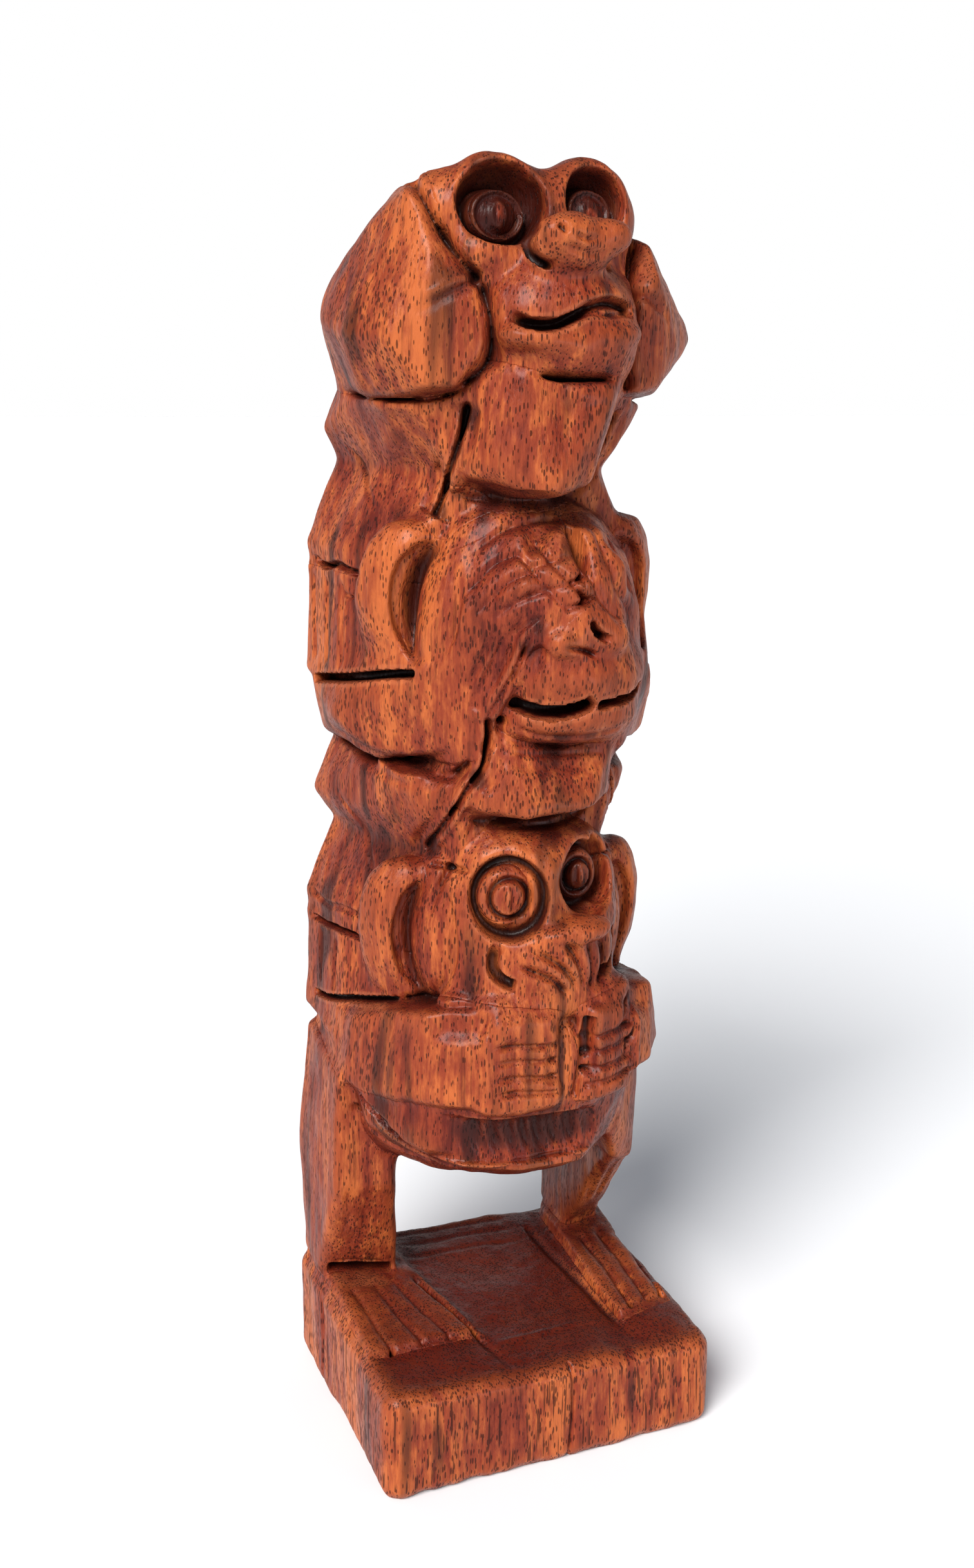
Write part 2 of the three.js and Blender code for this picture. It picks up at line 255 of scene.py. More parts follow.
class Knife:
    """Carves a block near one CAD form: places are in mm from the middle of its box's low front edge.

    A mirrored knife takes x as the distance from the plane x = middle, on the side -1 or 1 of it.
    """

    def __init__(self, block, name, middle=0.0, side=1):
        low, high = (np.array(corner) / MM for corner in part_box(name))
        self.block = block
        self.name = name
        self.middle = middle
        self.side = side
        self.origin = np.array([(low[0] + high[0]) / 2, low[1], low[2]])

    def halves(self, middle):
        """A mirrored knife for each side of the plane x = middle."""
        return [Knife(self.block, self.name, middle, side) for side in (-1, 1)]

    def place(self, point):
        x, y, z = point
        return self.origin + (self.middle + self.side * x, y, z)

    def stroke(self, points, width, depth, facing=(0, -1, 0), taper=(0.25, 0.25), shape="v", reach=6.0):
        """A groove of that half width and depth along a curve, or a ridge if depth is below 0.

        It is cut along facing, the way the surface looks there, so only distance across it counts. It reaches
        that far before and behind the curve, and thins out over the taper shares at its two ends.
        """
        line = smooth_curve([self.place(point) for point in points])
        facing = np.array([self.side * facing[0], *facing[1:]], float) / np.linalg.norm(facing)
        spread = width + reach * np.abs(facing) + 0.5
        slices, at = self.block.window(np.min(line, 0) - spread, np.max(line, 0) + spread)
        lengths = [float(np.linalg.norm(b - a)) for a, b in zip(line, line[1:])]
        best = np.full(np.broadcast_shapes(*(c.shape for c in at)), np.float32(1e6))
        share = np.zeros_like(best)
        near = np.full_like(best, reach)
        gone = 0.0
        for a, b, length in zip(line, line[1:], lengths):
            along = b - a
            flat = along - facing * along.dot(facing)
            rel = [c - np.float32(o) for c, o in zip(at, a)]
            t = sum(r * np.float32(f / max(flat.dot(flat), 1e-9)) for r, f in zip(rel, flat))
            t = np.clip(t, 0, 1)
            off = [r - t * np.float32(f) for r, f in zip(rel, along)]
            lift = sum(o * np.float32(f) for o, f in zip(off, facing))
            across = sum(o * o for o in off) - lift * lift
            across = np.where(np.abs(lift) < reach, across, np.float32(1e6))
            nearer = across < best
            best = np.where(nearer, across, best)
            near = np.where(nearer, np.abs(lift), near)
            share = np.where(nearer, (gone + t * length) / sum(lengths), share)
            gone += length
        profile = cut_shape(np.sqrt(np.maximum(best, 0)) / np.float32(width), shape)
        profile = profile * ramp(np.float32(reach) - near, 0, FADE)
        if taper[0] > 0:
            profile = profile * ramp(share, 0, taper[0])
        if taper[1] > 0:
            profile = profile * ramp(1 - share, 0, taper[1])
        self.block.values[slices] += (np.float32(depth) * profile).astype(np.float32)

    def paint_shade(self, centre, radii, amount=2.0):
        """Paints shade on the wood round a point, as if it lay that many mm deeper; a negative amount paints
        light there.
        """
        painted_shades.append((self.place(centre), np.array(radii, float), amount))

    def seam(self, points, depth, facing, spread, taper=(0.15, 0.15), fill=0.0, broad=0.0, cut=0.0, tone=0.0):
        """The valley between two forms: a broad hollow over their filled gap, with a crease and a cut in it.

        The wood in it gets painted shade, as if it lay tone mm deeper.
        """
        if fill:
            self.stroke(points, spread, -fill, facing, taper, "cos", 8)
        if broad:
            self.stroke(points, 1.5 * spread, broad, facing, taper, "cos", 8)
        self.stroke(points, spread, depth, facing, taper, "crease", 8)
        if cut:
            self.stroke(points, 1.1, cut, facing, taper, "v", 8)
        if tone:
            for centre in np.array(points[:-1]) * 0.5 + np.array(points[1:]) * 0.5:
                self.paint_shade(centre, (spread, spread, 1.3 * spread), tone)

    def near_ellipsoid(self, centre, radii, turn, blend):
        """The slices of the block round an ellipsoid, and how far their points are from it."""
        size = max(radii) + blend + 1
        centre = self.place(centre)
        slices, at = self.block.window(centre - size, centre + size)
        turn = (turn[0], self.side * turn[1], self.side * turn[2])
        return slices, ellipsoid(at, centre, radii, turn)

    def lump(self, centre, radii, turn=(0, 0, 0), blend=1.5):
        """Leaves a rounded lump standing, run into the block over about that many mm."""
        slices, distance = self.near_ellipsoid(centre, radii, turn, blend)
        values = self.block.values
        values[slices] = smooth_min(values[slices], distance, blend)

    def scoop(self, centre, radii, turn=(0, 0, 0), blend=0.8):
        """Takes a rounded hollow out."""
        slices, distance = self.near_ellipsoid(centre, radii, turn, blend)
        values = self.block.values
        values[slices] = -smooth_min(-values[slices], distance, blend)

    def relief(self, centre, radii, pattern, heading=0.0, tilt=0.0, reach=5.0, spread=1.5):
        """Carves a pattern(rho, u, v) of depths on a round boss: u right, v up, rho 1 at its rim.

        The boss faces -Y turned by heading about Z, towards +X, and by tilt upwards, both in degrees.
        """
        heading, tilt = math.radians(heading), math.radians(tilt)
        right = np.array([math.cos(heading), math.sin(heading), 0])
        level = math.cos(tilt)
        out = np.array([math.sin(heading) * level, -math.cos(heading) * level, math.sin(tilt)])
        up = np.cross(out, right)
        size = max(radii) * spread + reach
        centre = self.place(centre)
        slices, at = self.block.window(centre - size, centre + size)
        rel = [c - np.float32(o) for c, o in zip(at, centre)]
        u, v, lift = (sum(r * np.float32(w) for r, w in zip(rel, way)) for way in (right, up, out))
        rho = np.sqrt((u / radii[0]) ** 2 + (v / radii[1]) ** 2)
        near = ramp(np.float32(reach) - np.abs(lift), 0, FADE) * ramp(spread - rho, 0, 0.3)
        depth = pattern(rho, u, v) * near
        self.block.values[slices] += depth.astype(np.float32)


def bell(value, middle, width):
    return np.exp(-(((value - middle) / width) ** 2))


# ---- the monkey with its hands over its ears
def staring_eye(rho, u, v):
    """A dish with a thin raised rim, and in it a raised slit pupil."""
    lens = np.sqrt((u / 1.5) ** 2 + (v / 2.4) ** 2)
    cut = -0.75 * bell(rho, 1, 0.09) + 0.9 * bell(rho, 1.25, 0.13) + 0.75 * ramp(0.98 - rho, 0, 0.25)
    return cut - 0.6 * bell(lens, 1, 0.28) - 0.55 * bell(u, 0, 0.4) * bell(v, 0, 2)


def carve_hear(block):
    k = Knife(block, "hear_head")
    # temples and brow, so that the sockets are cut into one broad face
    k.lump((-19, 26.7, 36), (8.5, 8.5, 8.4), blend=2.5)
    k.lump((-0.5, 23.7, 37.5), (8, 8, 6.6), blend=3)
    k.lump((18.5, 26.2, 34.5), (5.6, 8, 7.6), blend=2.5)
    k.lump((-12, 19.7, 27.5), (9, 7.5, 6), blend=2.5)
    # the hands lie against the cheeks and the knees against the chest
    k.lump((-14.7, 19, 9), (4.6, 5.4, 12), blend=2)
    k.lump((-18.1, 21.6, -12), (3.6, 4.6, 10), blend=2)
    # eyes: deep sockets with a dished eye low in each
    k.scoop((-10.5, 14.7, 37.4), (9.6, 10.6, 8.6), blend=0.8)
    k.lump((-11.1, 21.4, 34.4), (7.4, 5.6, 6.2), blend=0.4)
    k.relief((-10.9, 16.6, 35), (5.7, 4.9), staring_eye, heading=-6, tilt=12)
    k.scoop((10.5, 15.6, 38), (7.6, 10, 7.8), blend=0.8)
    k.lump((10.1, 21.4, 35.4), (6.2, 5.6, 5.8), blend=0.4)
    k.relief((9.9, 16.4, 36.6), (4.6, 4.2), staring_eye, heading=6, tilt=12)
    # painted shade in both sockets, and painted light on the middle of each eye
    k.paint_shade((-10.1, 21.2, 37.8), (13, 12, 12), 3.6)
    k.paint_shade((11.1, 21.7, 39), (10.5, 11, 10.5), 3.4)
    for x in (-10.9, 9.9):
        k.paint_shade((x, 14.7, 35.8), (2.2, 3, 3.2), -3.5)
    # nose: round tip, flared wings and the two cuts curling round them
    k.lump((-1.7, 3.6, 30.8), (6.4, 4.4, 3.7), turn=(-15, 0, 0), blend=2)
    k.lump((7.7, 5, 30.8), (5.2, 4.2, 3.4), turn=(-15, 0, -20), blend=2)
    k.stroke([(-6.1, 8.2, 33), (-7.5, 9.2, 30), (-7.4, 7.7, 27), (-5.7, 5.2, 25.2), (-3.4, 3.2, 24.9)], 0.95,
        3.6, (-0.35, -1, 0), (0.2, 0.3), "u", 8)
    k.stroke([(12.1, 9.2, 32.4), (14.3, 9.7, 29), (13.1, 8.2, 26), (10.3, 5.6, 25.2)], 1.2, 3.2,
        (0.3, -1, 0), (0.2, 0.3), "u", 8)
    k.stroke([(-5.1, 2.4, 32.2), (-3.9, 1, 31.4), (-3.1, 0.2, 30.2)], 1, 1.7, (0, -1, 0.2), (0.2, 0.4), "v",
        5)
    k.stroke([(-1.9, 0.2, 30.8), (1.1, -0.2, 29.9), (4.9, 0.2, 30.3)], 0.9, 1, (0, -1, 0.2), (0.2, 0.5), "v",
        5)
    k.stroke([(-4.3, 2.7, 29.2), (0.5, 0.2, 27.4), (6.5, 1.2, 27.2)], 1.1, 0.7)
    # mouth: two gashes that meet under the nose, and full lips
    k.lump((-4.5, 7.2, 10.4), (10, 5.4, 2.8), turn=(0, 6, -14), blend=2.5)
    k.lump((9, 7.2, 11.4), (9, 5.4, 3), turn=(0, -4, 14), blend=2.5)
    k.stroke([(-12.7, 9.2, 16), (-9.2, 5.6, 13.7), (-4.3, 3, 13.3), (0.1, 1.6, 15), (4.5, 1.2, 17)], 1.25,
        5.6, (-0.2, -1, 0), (0.45, 0.3), "u", 9)
    k.stroke([(-0.7, 1.5, 15.3), (4, 1.2, 16.6), (8.3, 2.4, 17.6), (12.3, 4.4, 17.2), (16.1, 7.6, 16.2)],
        1.9, 3.4, (0.15, -1, 0), (0.35, 0.15), "v", 9)
    k.stroke([(3.5, 1.2, 15.2), (9.5, 2.6, 15.4), (15.5, 6.6, 15.6)], 0.7, 1.6, (0.15, -1, 0), (0.3, 0.3),
        "v", 8)
    # chin cut with a small lump under it
    k.stroke([(-8, 7.2, 3.6), (-1.5, 5.8, 2.9), (4.5, 4.6, 2.6), (12, 5.2, 2.8)], 1.5, 2.3, (0, -1, 0.2),
        (0.4, 0.3), "crease", 7)
    k.lump((4.7, 6.2, -0.4), (6, 3, 2.6), blend=1.2)
    # the cuts between hand and face, and the crease across the back of each hand
    k.seam([(-27.9, 23.2, 42.5), (-24.6, 19.7, 34.4), (-22.1, 17.7, 29.6), (-19.1, 16, 25.5),
        (-15.4, 15.2, 21.6)], 1.9, (-0.4, -1, 0), 2.4, (0.05, 0.05))
    k.seam([(-15.5, 14.7, 21.8), (-14.5, 13.2, 17.5), (-13.7, 12.7, 12.5), (-13.5, 13.6, 7.4),
        (-16.1, 14, 3.2), (-21, 15.8, 0)], 2.9, (-0.3, -1, 0), 3.8, (0.1, 0.2), fill=1)
    k.seam([(-17.5, 14.4, 1.2), (-24.5, 19.4, -1.8), (-30.5, 27.2, -2.4), (-35, 37.2, -2),
        (-37, 50.2, -1.2)], 0.9, (-0.75, -0.7, 0), 2.4)
    k.stroke([(-15.1, 15.6, 22.6), (-19.1, 14.4, 20.9), (-23.2, 14.5, 19), (-26.7, 16, 16.6),
        (-29.9, 18.2, 13.6)], 2.2, 0.9, (-0.5, -1, 0), (0.05, 0.4), "v", 8)
    k.stroke([(-17.5, 13.6, 22.6), (-23.5, 13.8, 20.6), (-28.5, 16.7, 17.2)], 1.6, -0.7, (-0.5, -1, 0),
        (0.2, 0.4), "cos", 8)
    k.seam([(24.1, 25.2, 32), (21.7, 18.7, 24.5), (19.7, 14.6, 16), (18.3, 13.4, 7), (19.5, 17.2, -0.4)],
        3.6, (0.3, -1, 0), 3, (0.1, 0.1))
    k.seam([(19.5, 17.6, -1), (25.5, 22.4, -2.2), (32.5, 29.2, -2.4), (37.5, 39.2, -2), (40, 50.2, -1.2)],
        0.9, (0.75, -0.7, 0), 2.4)
    k.stroke([(18.5, 14.6, 22), (25.5, 15.6, 18.6), (32.5, 20.2, 13.6)], 1.8, 1, (0.5, -1, 0), (0.05, 0.4),
        "v", 8)
    # cuts between chest and knees, with painted shade along them, and the creases down the shins
    k.seam([(-17.4, 16, -2), (-18.5, 17.4, -9), (-19.5, 20.4, -16.5), (-20.5, 23.6, -23.4),
        (-21.5, 25.2, -27)], 1, (-0.5, -1, 0), 3.2, (0.1, 0.02), fill=2.4, broad=2.3, cut=2.4, tone=1.8)
    k.seam([(19.3, 17.8, -3), (17.1, 18, -11), (14.1, 16.6, -17), (10.1, 14.2, -21.4)], 1, (0.4, -1, 0), 3.2,
        fill=2.2, broad=2.1, cut=1.8, tone=1.6)
    k.stroke([(-18.1, 21.6, -21.6), (-11.5, 15.2, -21.2), (-5.5, 8.2, -22), (0.5, 4.6, -23.2),
        (5.5, 5.2, -22.4)], 0.9, 1.1, (0, -1, 0.4), (0.2, 0.2))
    k.stroke([(-32.5, 58.2, -12), (-30.5, 54, -15.8), (-29.9, 46.9, -21.6), (-29.5, 39.2, -27.6)], 1.1, 0.8,
        (-1, -0.3, 0), (0.3, 0.3))
    for half, rows in zip(k.halves(1), ((63.2, 55.2, 47.2), (61.2, 52.2, 44.2))):
        for y in rows:
            half.stroke([(38.5, y, -42.4), (38.8, y - 1.6, -54), (38.8, y - 2.4, -64)], 1.3, 1.1,
                (1, -0.1, 0), (0.15, 0.15))
    for half in k.halves(1.5):
        half.stroke([(38.5, 64.2, -39.4), (38.5, 56.2, -40.8), (38.5, 49.2, -39.6), (38, 41.2, -41),
            (36.5, 33.2, -39.6)], 1, 1.5, (1, -0.2, 0), (0.1, 0.15))
        half.stroke([(38.4, 46.8, -45.5), (38, 42.8, -46.4), (37.6, 41.6, -44.2)], 0.7, 0.9, (1, -0.2, 0),
            (0.2, 0.2))


# ---- the monkey with its hands over its eyes
def carve_ears(k, middle, back, height):
    """Each ear is a thick cup, its rim standing out at the side and its hollow deepest beside the head."""
    for half in k.halves(middle):
        half.lump((25.4, back, height), (10.2, 5.2, 16.4), turn=(6, 0, 40), blend=0.6)
        half.scoop((23.6, back - 10.4, height + 0.2), (7.8, 9.2, 14), turn=(6, 0, 34), blend=2)
        # painted shade in the ear's hollow
        half.paint_shade((21, back - 2.4, height), (6, 6, 14), 1)


def carve_see(block):
    k = Knife(block, "see_head")
    carve_ears(k, -2.2, 33, 31.5)
    # the forehead runs into the forearm
    k.lump((-4.7, 24.1, 44.5), (15.5, 11, 11), blend=3)
    k.lump((5.8, 22.1, 44.5), (9.5, 9.5, 8), blend=3)
    for half in k.halves(-1.9):
        half.lump((18.6, 24.6, 32), (6.4, 8.4, 18.5), turn=(0, -15, 0), blend=2)
    # fingers of the right hand, running up and inwards over the eyes
    for line in (
        [(-21.9, 15.5, 33.4), (-18.3, 13.2, 37.8), (-15.5, 11.7, 41.1), (-10.5, 9, 44)],
        [(-21.3, 13.2, 29.3), (-17.3, 9.6, 34), (-14.2, 7.9, 37.7), (-8.3, 5.8, 40.6)],
        [(-17.7, 10.2, 29.4), (-14.1, 7, 32.8), (-11.2, 5.4, 34.7), (-5.3, 4, 37)],
        [(-14.7, 8.2, 25.4), (-11.3, 5.8, 28.6), (-7.3, 4, 31.4)],
    ):
        k.stroke(line, 2.1, 1.1, (-0.4, -1, 0.1), (0.4, 0.15), "crease")
    # fingers of the left hand, running down and outwards
    for line in (
        [(0.5, 16.6, 49), (1.9, 10.6, 43.6), (3.7, 4.2, 36.8), (7.9, 2, 31.6), (12.9, 5.6, 28)],
        [(5.7, 13.6, 47.6), (7.7, 7.6, 42), (10.3, 4.6, 36.6), (14.7, 6.6, 31.2), (17.8, 10.6, 28)],
        [(10.7, 18.6, 46.6), (12.5, 12.1, 42), (15.7, 9.6, 36.4), (18.9, 13, 31)],
    ):
        k.stroke(line, 2.2, 1, (0.25, -1, 0.1), (0.15, 0.35), "crease")
    # the brow, and where the fingertips cross
    k.stroke([(-19.3, 18, 41.4), (-13.3, 17.2, 46.2), (-8.4, 16.6, 48.2), (-1.7, 16.1, 49.2),
        (1.3, 16, 48.6)], 1.2, 0.8, (-0.2, -1, 0.5), (0.4, 0.15))
    for line in (
        [(-11.9, 9.2, 44.6), (-9.5, 6.2, 41), (-6.3, 4, 36.6), (-1.7, 2.2, 31.4)],
        [(-7.3, 8.6, 46.4), (-5.1, 5, 42), (-1.3, 2.6, 37.4), (2.5, 1.6, 32.6)],
    ):
        k.stroke(line, 1.6, 0.8, (-0.1, -1, 0.1), (0.15, 0.25), "crease")
    for line in (
        [(-9.7, 6.4, 40.8), (-5.1, 5, 42.2), (-0.1, 5.6, 43.8)],
        [(-6.3, 4, 36.4), (-2.3, 2.8, 37.6), (1.9, 3.2, 39.6)],
        [(-3.3, 2.4, 32.4), (0.7, 1.8, 33.8), (4.7, 2.2, 35.4)],
    ):
        k.stroke(line, 1.6, 0.8, (-0.1, -1, 0.1), (0.1, 0.25), "crease")
    # the deep crease between forearm and muzzle, with finer cuts and painted shade along it
    k.seam([(-4.9, 3.4, 32), (-8.3, 4.6, 28.4), (-10.6, 5.8, 24.6), (-12.1, 7.4, 19.2), (-14.6, 9.6, 13),
        (-17.1, 11.2, 7.6)], 0.9, (-0.4, -1, 0), 4.6, (0.2, 0.05), fill=2.9, broad=2.1, cut=0.7, tone=1.4)
    for shift in (2.6, 4.8, 7):
        k.stroke([(-9.1 - shift, 6 + 0.5 * shift, 27.5), (-12.3 - shift, 8.2 + 0.5 * shift, 18.5),
            (-15.1 - shift, 10.6 + 0.5 * shift, 11.5)], 1.4, 1.2, (-0.5, -1, 0), (0.3, 0.35))
    k.seam([(-16.7, 11.2, 8.6), (-16.1, 12, 2.5), (-16.9, 12.6, -3), (-19.3, 14, -7.8)], 0.9, (-0.2, -1, 0),
        3.4, (0.1, 0.1), fill=2.6, broad=2, cut=2.2, tone=1.4)
    k.scoop((-15.9, 11.8, 1.6), (1.6, 2.6, 2.2), turn=(0, 30, 0), blend=1)
    # nose with two curled nostrils
    k.lump((-1.9, 3.8, 25.2), (4.8, 3.4, 3.4), blend=1.5)
    k.lump((8.7, 4, 25.6), (3.8, 3.2, 3.4), blend=1.5)
    k.stroke([(2.1, 1, 30.6), (3.3, 0.2, 28), (5.3, 0.2, 26.4), (7.9, 0.8, 25.6)], 1, 1.7, (0, -1, 0),
        (0.3, 0.3), "u")
    k.stroke([(-4.9, 2.6, 24.6), (-0.1, 1.6, 24), (2.7, 1.6, 23), (5.5, 1.6, 21.4)], 1, 1.4, (0, -1, 0),
        (0.3, 0.3))
    # mouth: an open crescent on the right, a step in the middle and a thinner gash on the left
    k.stroke([(-12.7, 10.6, 12.4), (-8.9, 6.6, 10.4), (-3.9, 3.6, 9.8), (1.3, 2.4, 10.9), (4.1, 1.6, 12.8)],
        1.7, 6.5, (-0.15, -1, 0), (0.5, 0.08), "u", 9)
    k.stroke([(4.9, 1.6, 11.2), (10.3, 3.6, 11.6), (15.3, 6.6, 12.2), (19.8, 11, 13.6)], 1.1, 4.4,
        (0.2, -1, 0), (0.12, 0.15), "u", 9)
    # lower lip band, with the jaw's bevel under it and painted shade along the bevel
    k.stroke([(-13.2, 11, 7.4), (-7.7, 7, 5), (-0.7, 4.4, 4), (7.3, 4.6, 4.4), (15.3, 8.6, 6.2)], 1.6, 0.8,
        (0, -1, 0), (0.3, 0.3), "crease", 7)
    k.seam([(-14.3, 12, 1.2), (-5.7, 9.2, -1.1), (4.3, 8.6, -1.8), (13.3, 12.6, -0.6)], 1.1, (0, -1, -0.2),
        3, (0.2, 0.3), fill=1.7, broad=1.5, tone=0.8)
    for half in k.halves(-0.7):
        # the deep cut over each forearm, and the undercut where the arm lies on the knee, with painted shade
        # along it
        half.stroke([(40.5, 60.6, 9.4), (39.4, 50.6, 11.2), (37.4, 40.6, 13), (33.2, 30.6, 15.2),
            (28, 22.1, 16.6)], 1.05, 5, (0.85, -0.5, 0.05), (0.06, 0.15), "u", 8)
        half.seam([(39.5, 49.6, -3.4), (35, 39.6, -5.4), (29.5, 32.2, -6), (24, 25.1, -5.2),
            (19, 17.6, -2.4)], 0.9, (0.7, -0.7, -0.2), 3.4, (0.15, 0.1), fill=2.8, broad=1.8, tone=0.6)
        # the cut between chest and knee with painted shade along it, the broken ledge under the leg and the
        # grooves of the foot
        half.seam([(16, 12.7, -3.5), (19.6, 14.6, -9), (21.7, 19.2, -16.4), (23.2, 24, -22),
            (23.4, 27.6, -26.4)], 0.9, (0.3, -1, 0), 3.2, (0.1, 0.1), fill=2.4, broad=1.8, cut=1.8, tone=1.4)
        half.stroke([(40, 65.6, -44.8), (39.5, 56.6, -46), (39, 47.6, -44.6), (38, 38.6, -45.4)], 1.2, 1.1,
            (1, -0.2, 0), (0.1, 0.15))
        half.stroke([(39.5, 65.6, -51.4), (39.5, 56.6, -51.2), (39, 47.6, -50.2), (38, 38.6, -50.6)], 0.9,
            1.4, (1, -0.2, 0), (0.1, 0.15))
        for y in (59.6, 51.2):
            half.stroke([(39.4, y, -52.4), (39.4, y - 0.8, -61), (39.6, y - 1.4, -67.4)], 1.2, 0.8,
                (1, -0.1, 0), (0.15, 0.15))
        half.stroke([(33, 57.6, -15), (33.6, 49.6, -23), (34.4, 43.6, -31), (35, 37.6, -38)], 1.3, 0.8,
            (1, -0.3, 0), (0.3, 0.3), "v", 7)
    k.stroke([(-20.1, 18.2, -15.6), (-13.7, 13.2, -16), (-6.7, 11.6, -17), (1.3, 13, -17.8),
        (8.3, 14.6, -16.6), (13.7, 18, -14)], 1, 1.5, (0, -1, 0.3), (0.2, 0.2))


# ---- the monkey with its hands over its mouth
def sunk_eye(rho, u, v):
    """A broad flat ring round a domed iris, which has a raised slit pupil."""
    cut = 2.1 * bell(rho, 1.10, 0.13) + 1.5 * bell(rho, 0.57, 0.10) - 0.35 * bell(rho, 0.8, 0.17)
    cut = cut - 0.45 * bell(rho, 0.45, 0.05) - 0.7 * bell(rho, 0, 0.42)
    cut = cut + 0.8 * ramp(1.1 - rho, 0, 0.5) * ramp(-u, -1, 6)
    return cut + (0.65 * bell(np.abs(u), 1, 0.42) - 0.55 * bell(u, 0, 0.42)) * bell(v, 0, 2.4)


def carve_speak(block):
    k = Knife(block, "speak_head")
    carve_ears(k, -0.5, 31.4, 20.5)
    # cheeks and temples, standing in front of the ears
    for half in k.halves(-0.4):
        half.lump((18.4, 24.4, 21), (7.4, 8.6, 20), blend=1.6)
    k.lump((-2, 22, 41), (16, 10, 7.6), blend=3)
    # the muzzle runs down into the hands that cover the mouth
    k.lump((-4, 8.4, 7.4), (14, 6.4, 4.6), blend=2.6)
    k.lump((-16, 14, 6), (8, 6, 3.6), blend=3)
    k.lump((13, 9, 7.4), (10, 6, 4.4), blend=2.6)
    # eyes: the right one fills its socket, the left one lies deep behind the bridge of the nose
    k.scoop((-9.8, 7.4, 33.6), (8.9, 4.6, 10.2), turn=(8, 0, -24), blend=0.6)
    k.lump((-9.6, 14.2, 32.4), (7.4, 6, 8), turn=(8, 0, -24), blend=0.4)
    k.relief((-9.8, 8.6, 32.6), (7.2, 7.9), sunk_eye, heading=-24, tilt=6)
    k.scoop((10.8, 8.6, 35.6), (7.8, 7.4, 9.8), turn=(8, 0, 12), blend=0.6)
    k.scoop((14.2, 12.5, 36), (4.2, 6.6, 8.8), turn=(8, 0, 20), blend=0.8)
    k.lump((8.8, 16, 35.2), (5.8, 5.2, 7.2), turn=(8, 0, 0), blend=0.4)
    k.relief((8.8, 11.2, 35.4), (5, 6.6), sunk_eye, heading=4, tilt=6)
    # painted shade in both sockets
    k.paint_shade((-11.6, 11, 34.2), (7.6, 8, 9.4), 1.6)
    k.paint_shade((11, 13, 35.6), (8.4, 8, 9.6), 2.8)
    # cheeks: a flat face each side, with the step at its top and the edge down to the ear
    for half in k.halves(0):
        half.stroke([(20.6, 17.5, 39.4), (23.2, 19, 32), (24.8, 20.5, 25)], 1.3, 1.3, (0.7, -0.8, 0),
            (0.1, 0.5))
        half.stroke([(24, 22, 38.6), (20, 16.6, 38.8), (16.4, 13.6, 38.2)], 1, 1.1, (0.5, -0.8, 0.3),
            (0.15, 0.2))
    # nose: bridge, the hooked cut beside each nostril and the fan of wrinkles over the hidden mouth
    k.lump((4.6, 3.4, 25), (8.4, 4, 2.9), turn=(0, -6, 0), blend=2)
    k.stroke([(-11.6, 7.2, 23.4), (-13.4, 7.8, 20.4), (-13.6, 7.6, 16.6), (-11.8, 6.2, 14.2),
        (-9.2, 4.4, 13.2)], 1.5, 3, (-0.4, -1, 0), (0.35, 0.1), "u", 7)
    k.stroke([(16.2, 10.4, 23), (17.8, 11.6, 20), (17.6, 11, 16.4), (15.8, 8.6, 14), (13, 6.4, 12.6)], 1.15,
        2.8, (0.4, -1, 0), (0.3, 0.12), "u", 7)
    for line in (
        [(-10.4, 3.6, 18.6), (-5.8, 1.4, 17), (-1.4, 0.8, 14.6), (3.4, 2.6, 9.4)],
        [(-7.8, 2.6, 22.4), (-3.4, 1, 20.6), (0.6, 0.1, 17.6), (3.6, 0.8, 13.8), (5.6, 3, 9.4)],
        [(-0.4, 2.8, 24.4), (3, 1.2, 21), (5.6, 1.2, 15.6), (7.2, 3, 9.6)],
        [(6.6, 4.2, 24.2), (8.4, 3, 19), (9.2, 3.4, 13.6), (8.8, 4.2, 9.4)],
        [(12, 6.8, 23), (13.2, 6.8, 17.6), (12.6, 6.4, 12.6), (10.6, 5.8, 9.2)],
    ):
        k.stroke(line, 2.3, 2, (0, -1, 0.1), (0.3, 0.25), "crease")
    # where the arm comes out from under the cheek, and the cut over each forearm
    for half in k.halves(1):
        half.stroke([(30, 26.5, 4.6), (27, 19, 6.2), (22.5, 11.4, 7.6), (17, 7.4, 8.2), (11, 5, 8.4)], 2.4,
            1.1, (0.5, -0.9, 0.1), (0.1, 0.5), "crease", 8)
        half.stroke([(41, 60, -4.4), (39.6, 51, -2.6), (37.4, 42, 0.2), (33.4, 34, 2.4), (28, 25.5, 5)], 0.8,
            3.2, (0.85, -0.5, 0.1), (0.06, 0.25), "u", 7)
    # the hands meet in a flat recess
    k.lump((3.6, 6.4, -6), (4.4, 4.6, 9.6), blend=1.2)
    # each arm's top slopes down to its front
    for half in k.halves(1):
        half.stroke([(28, 17.5, 2.2), (21.5, 10, 3.2), (14, 4, 4.2)], 5.6, 2, (0.5, -0.8, 0.4), (0.45, 0.25),
            "cos", 8)
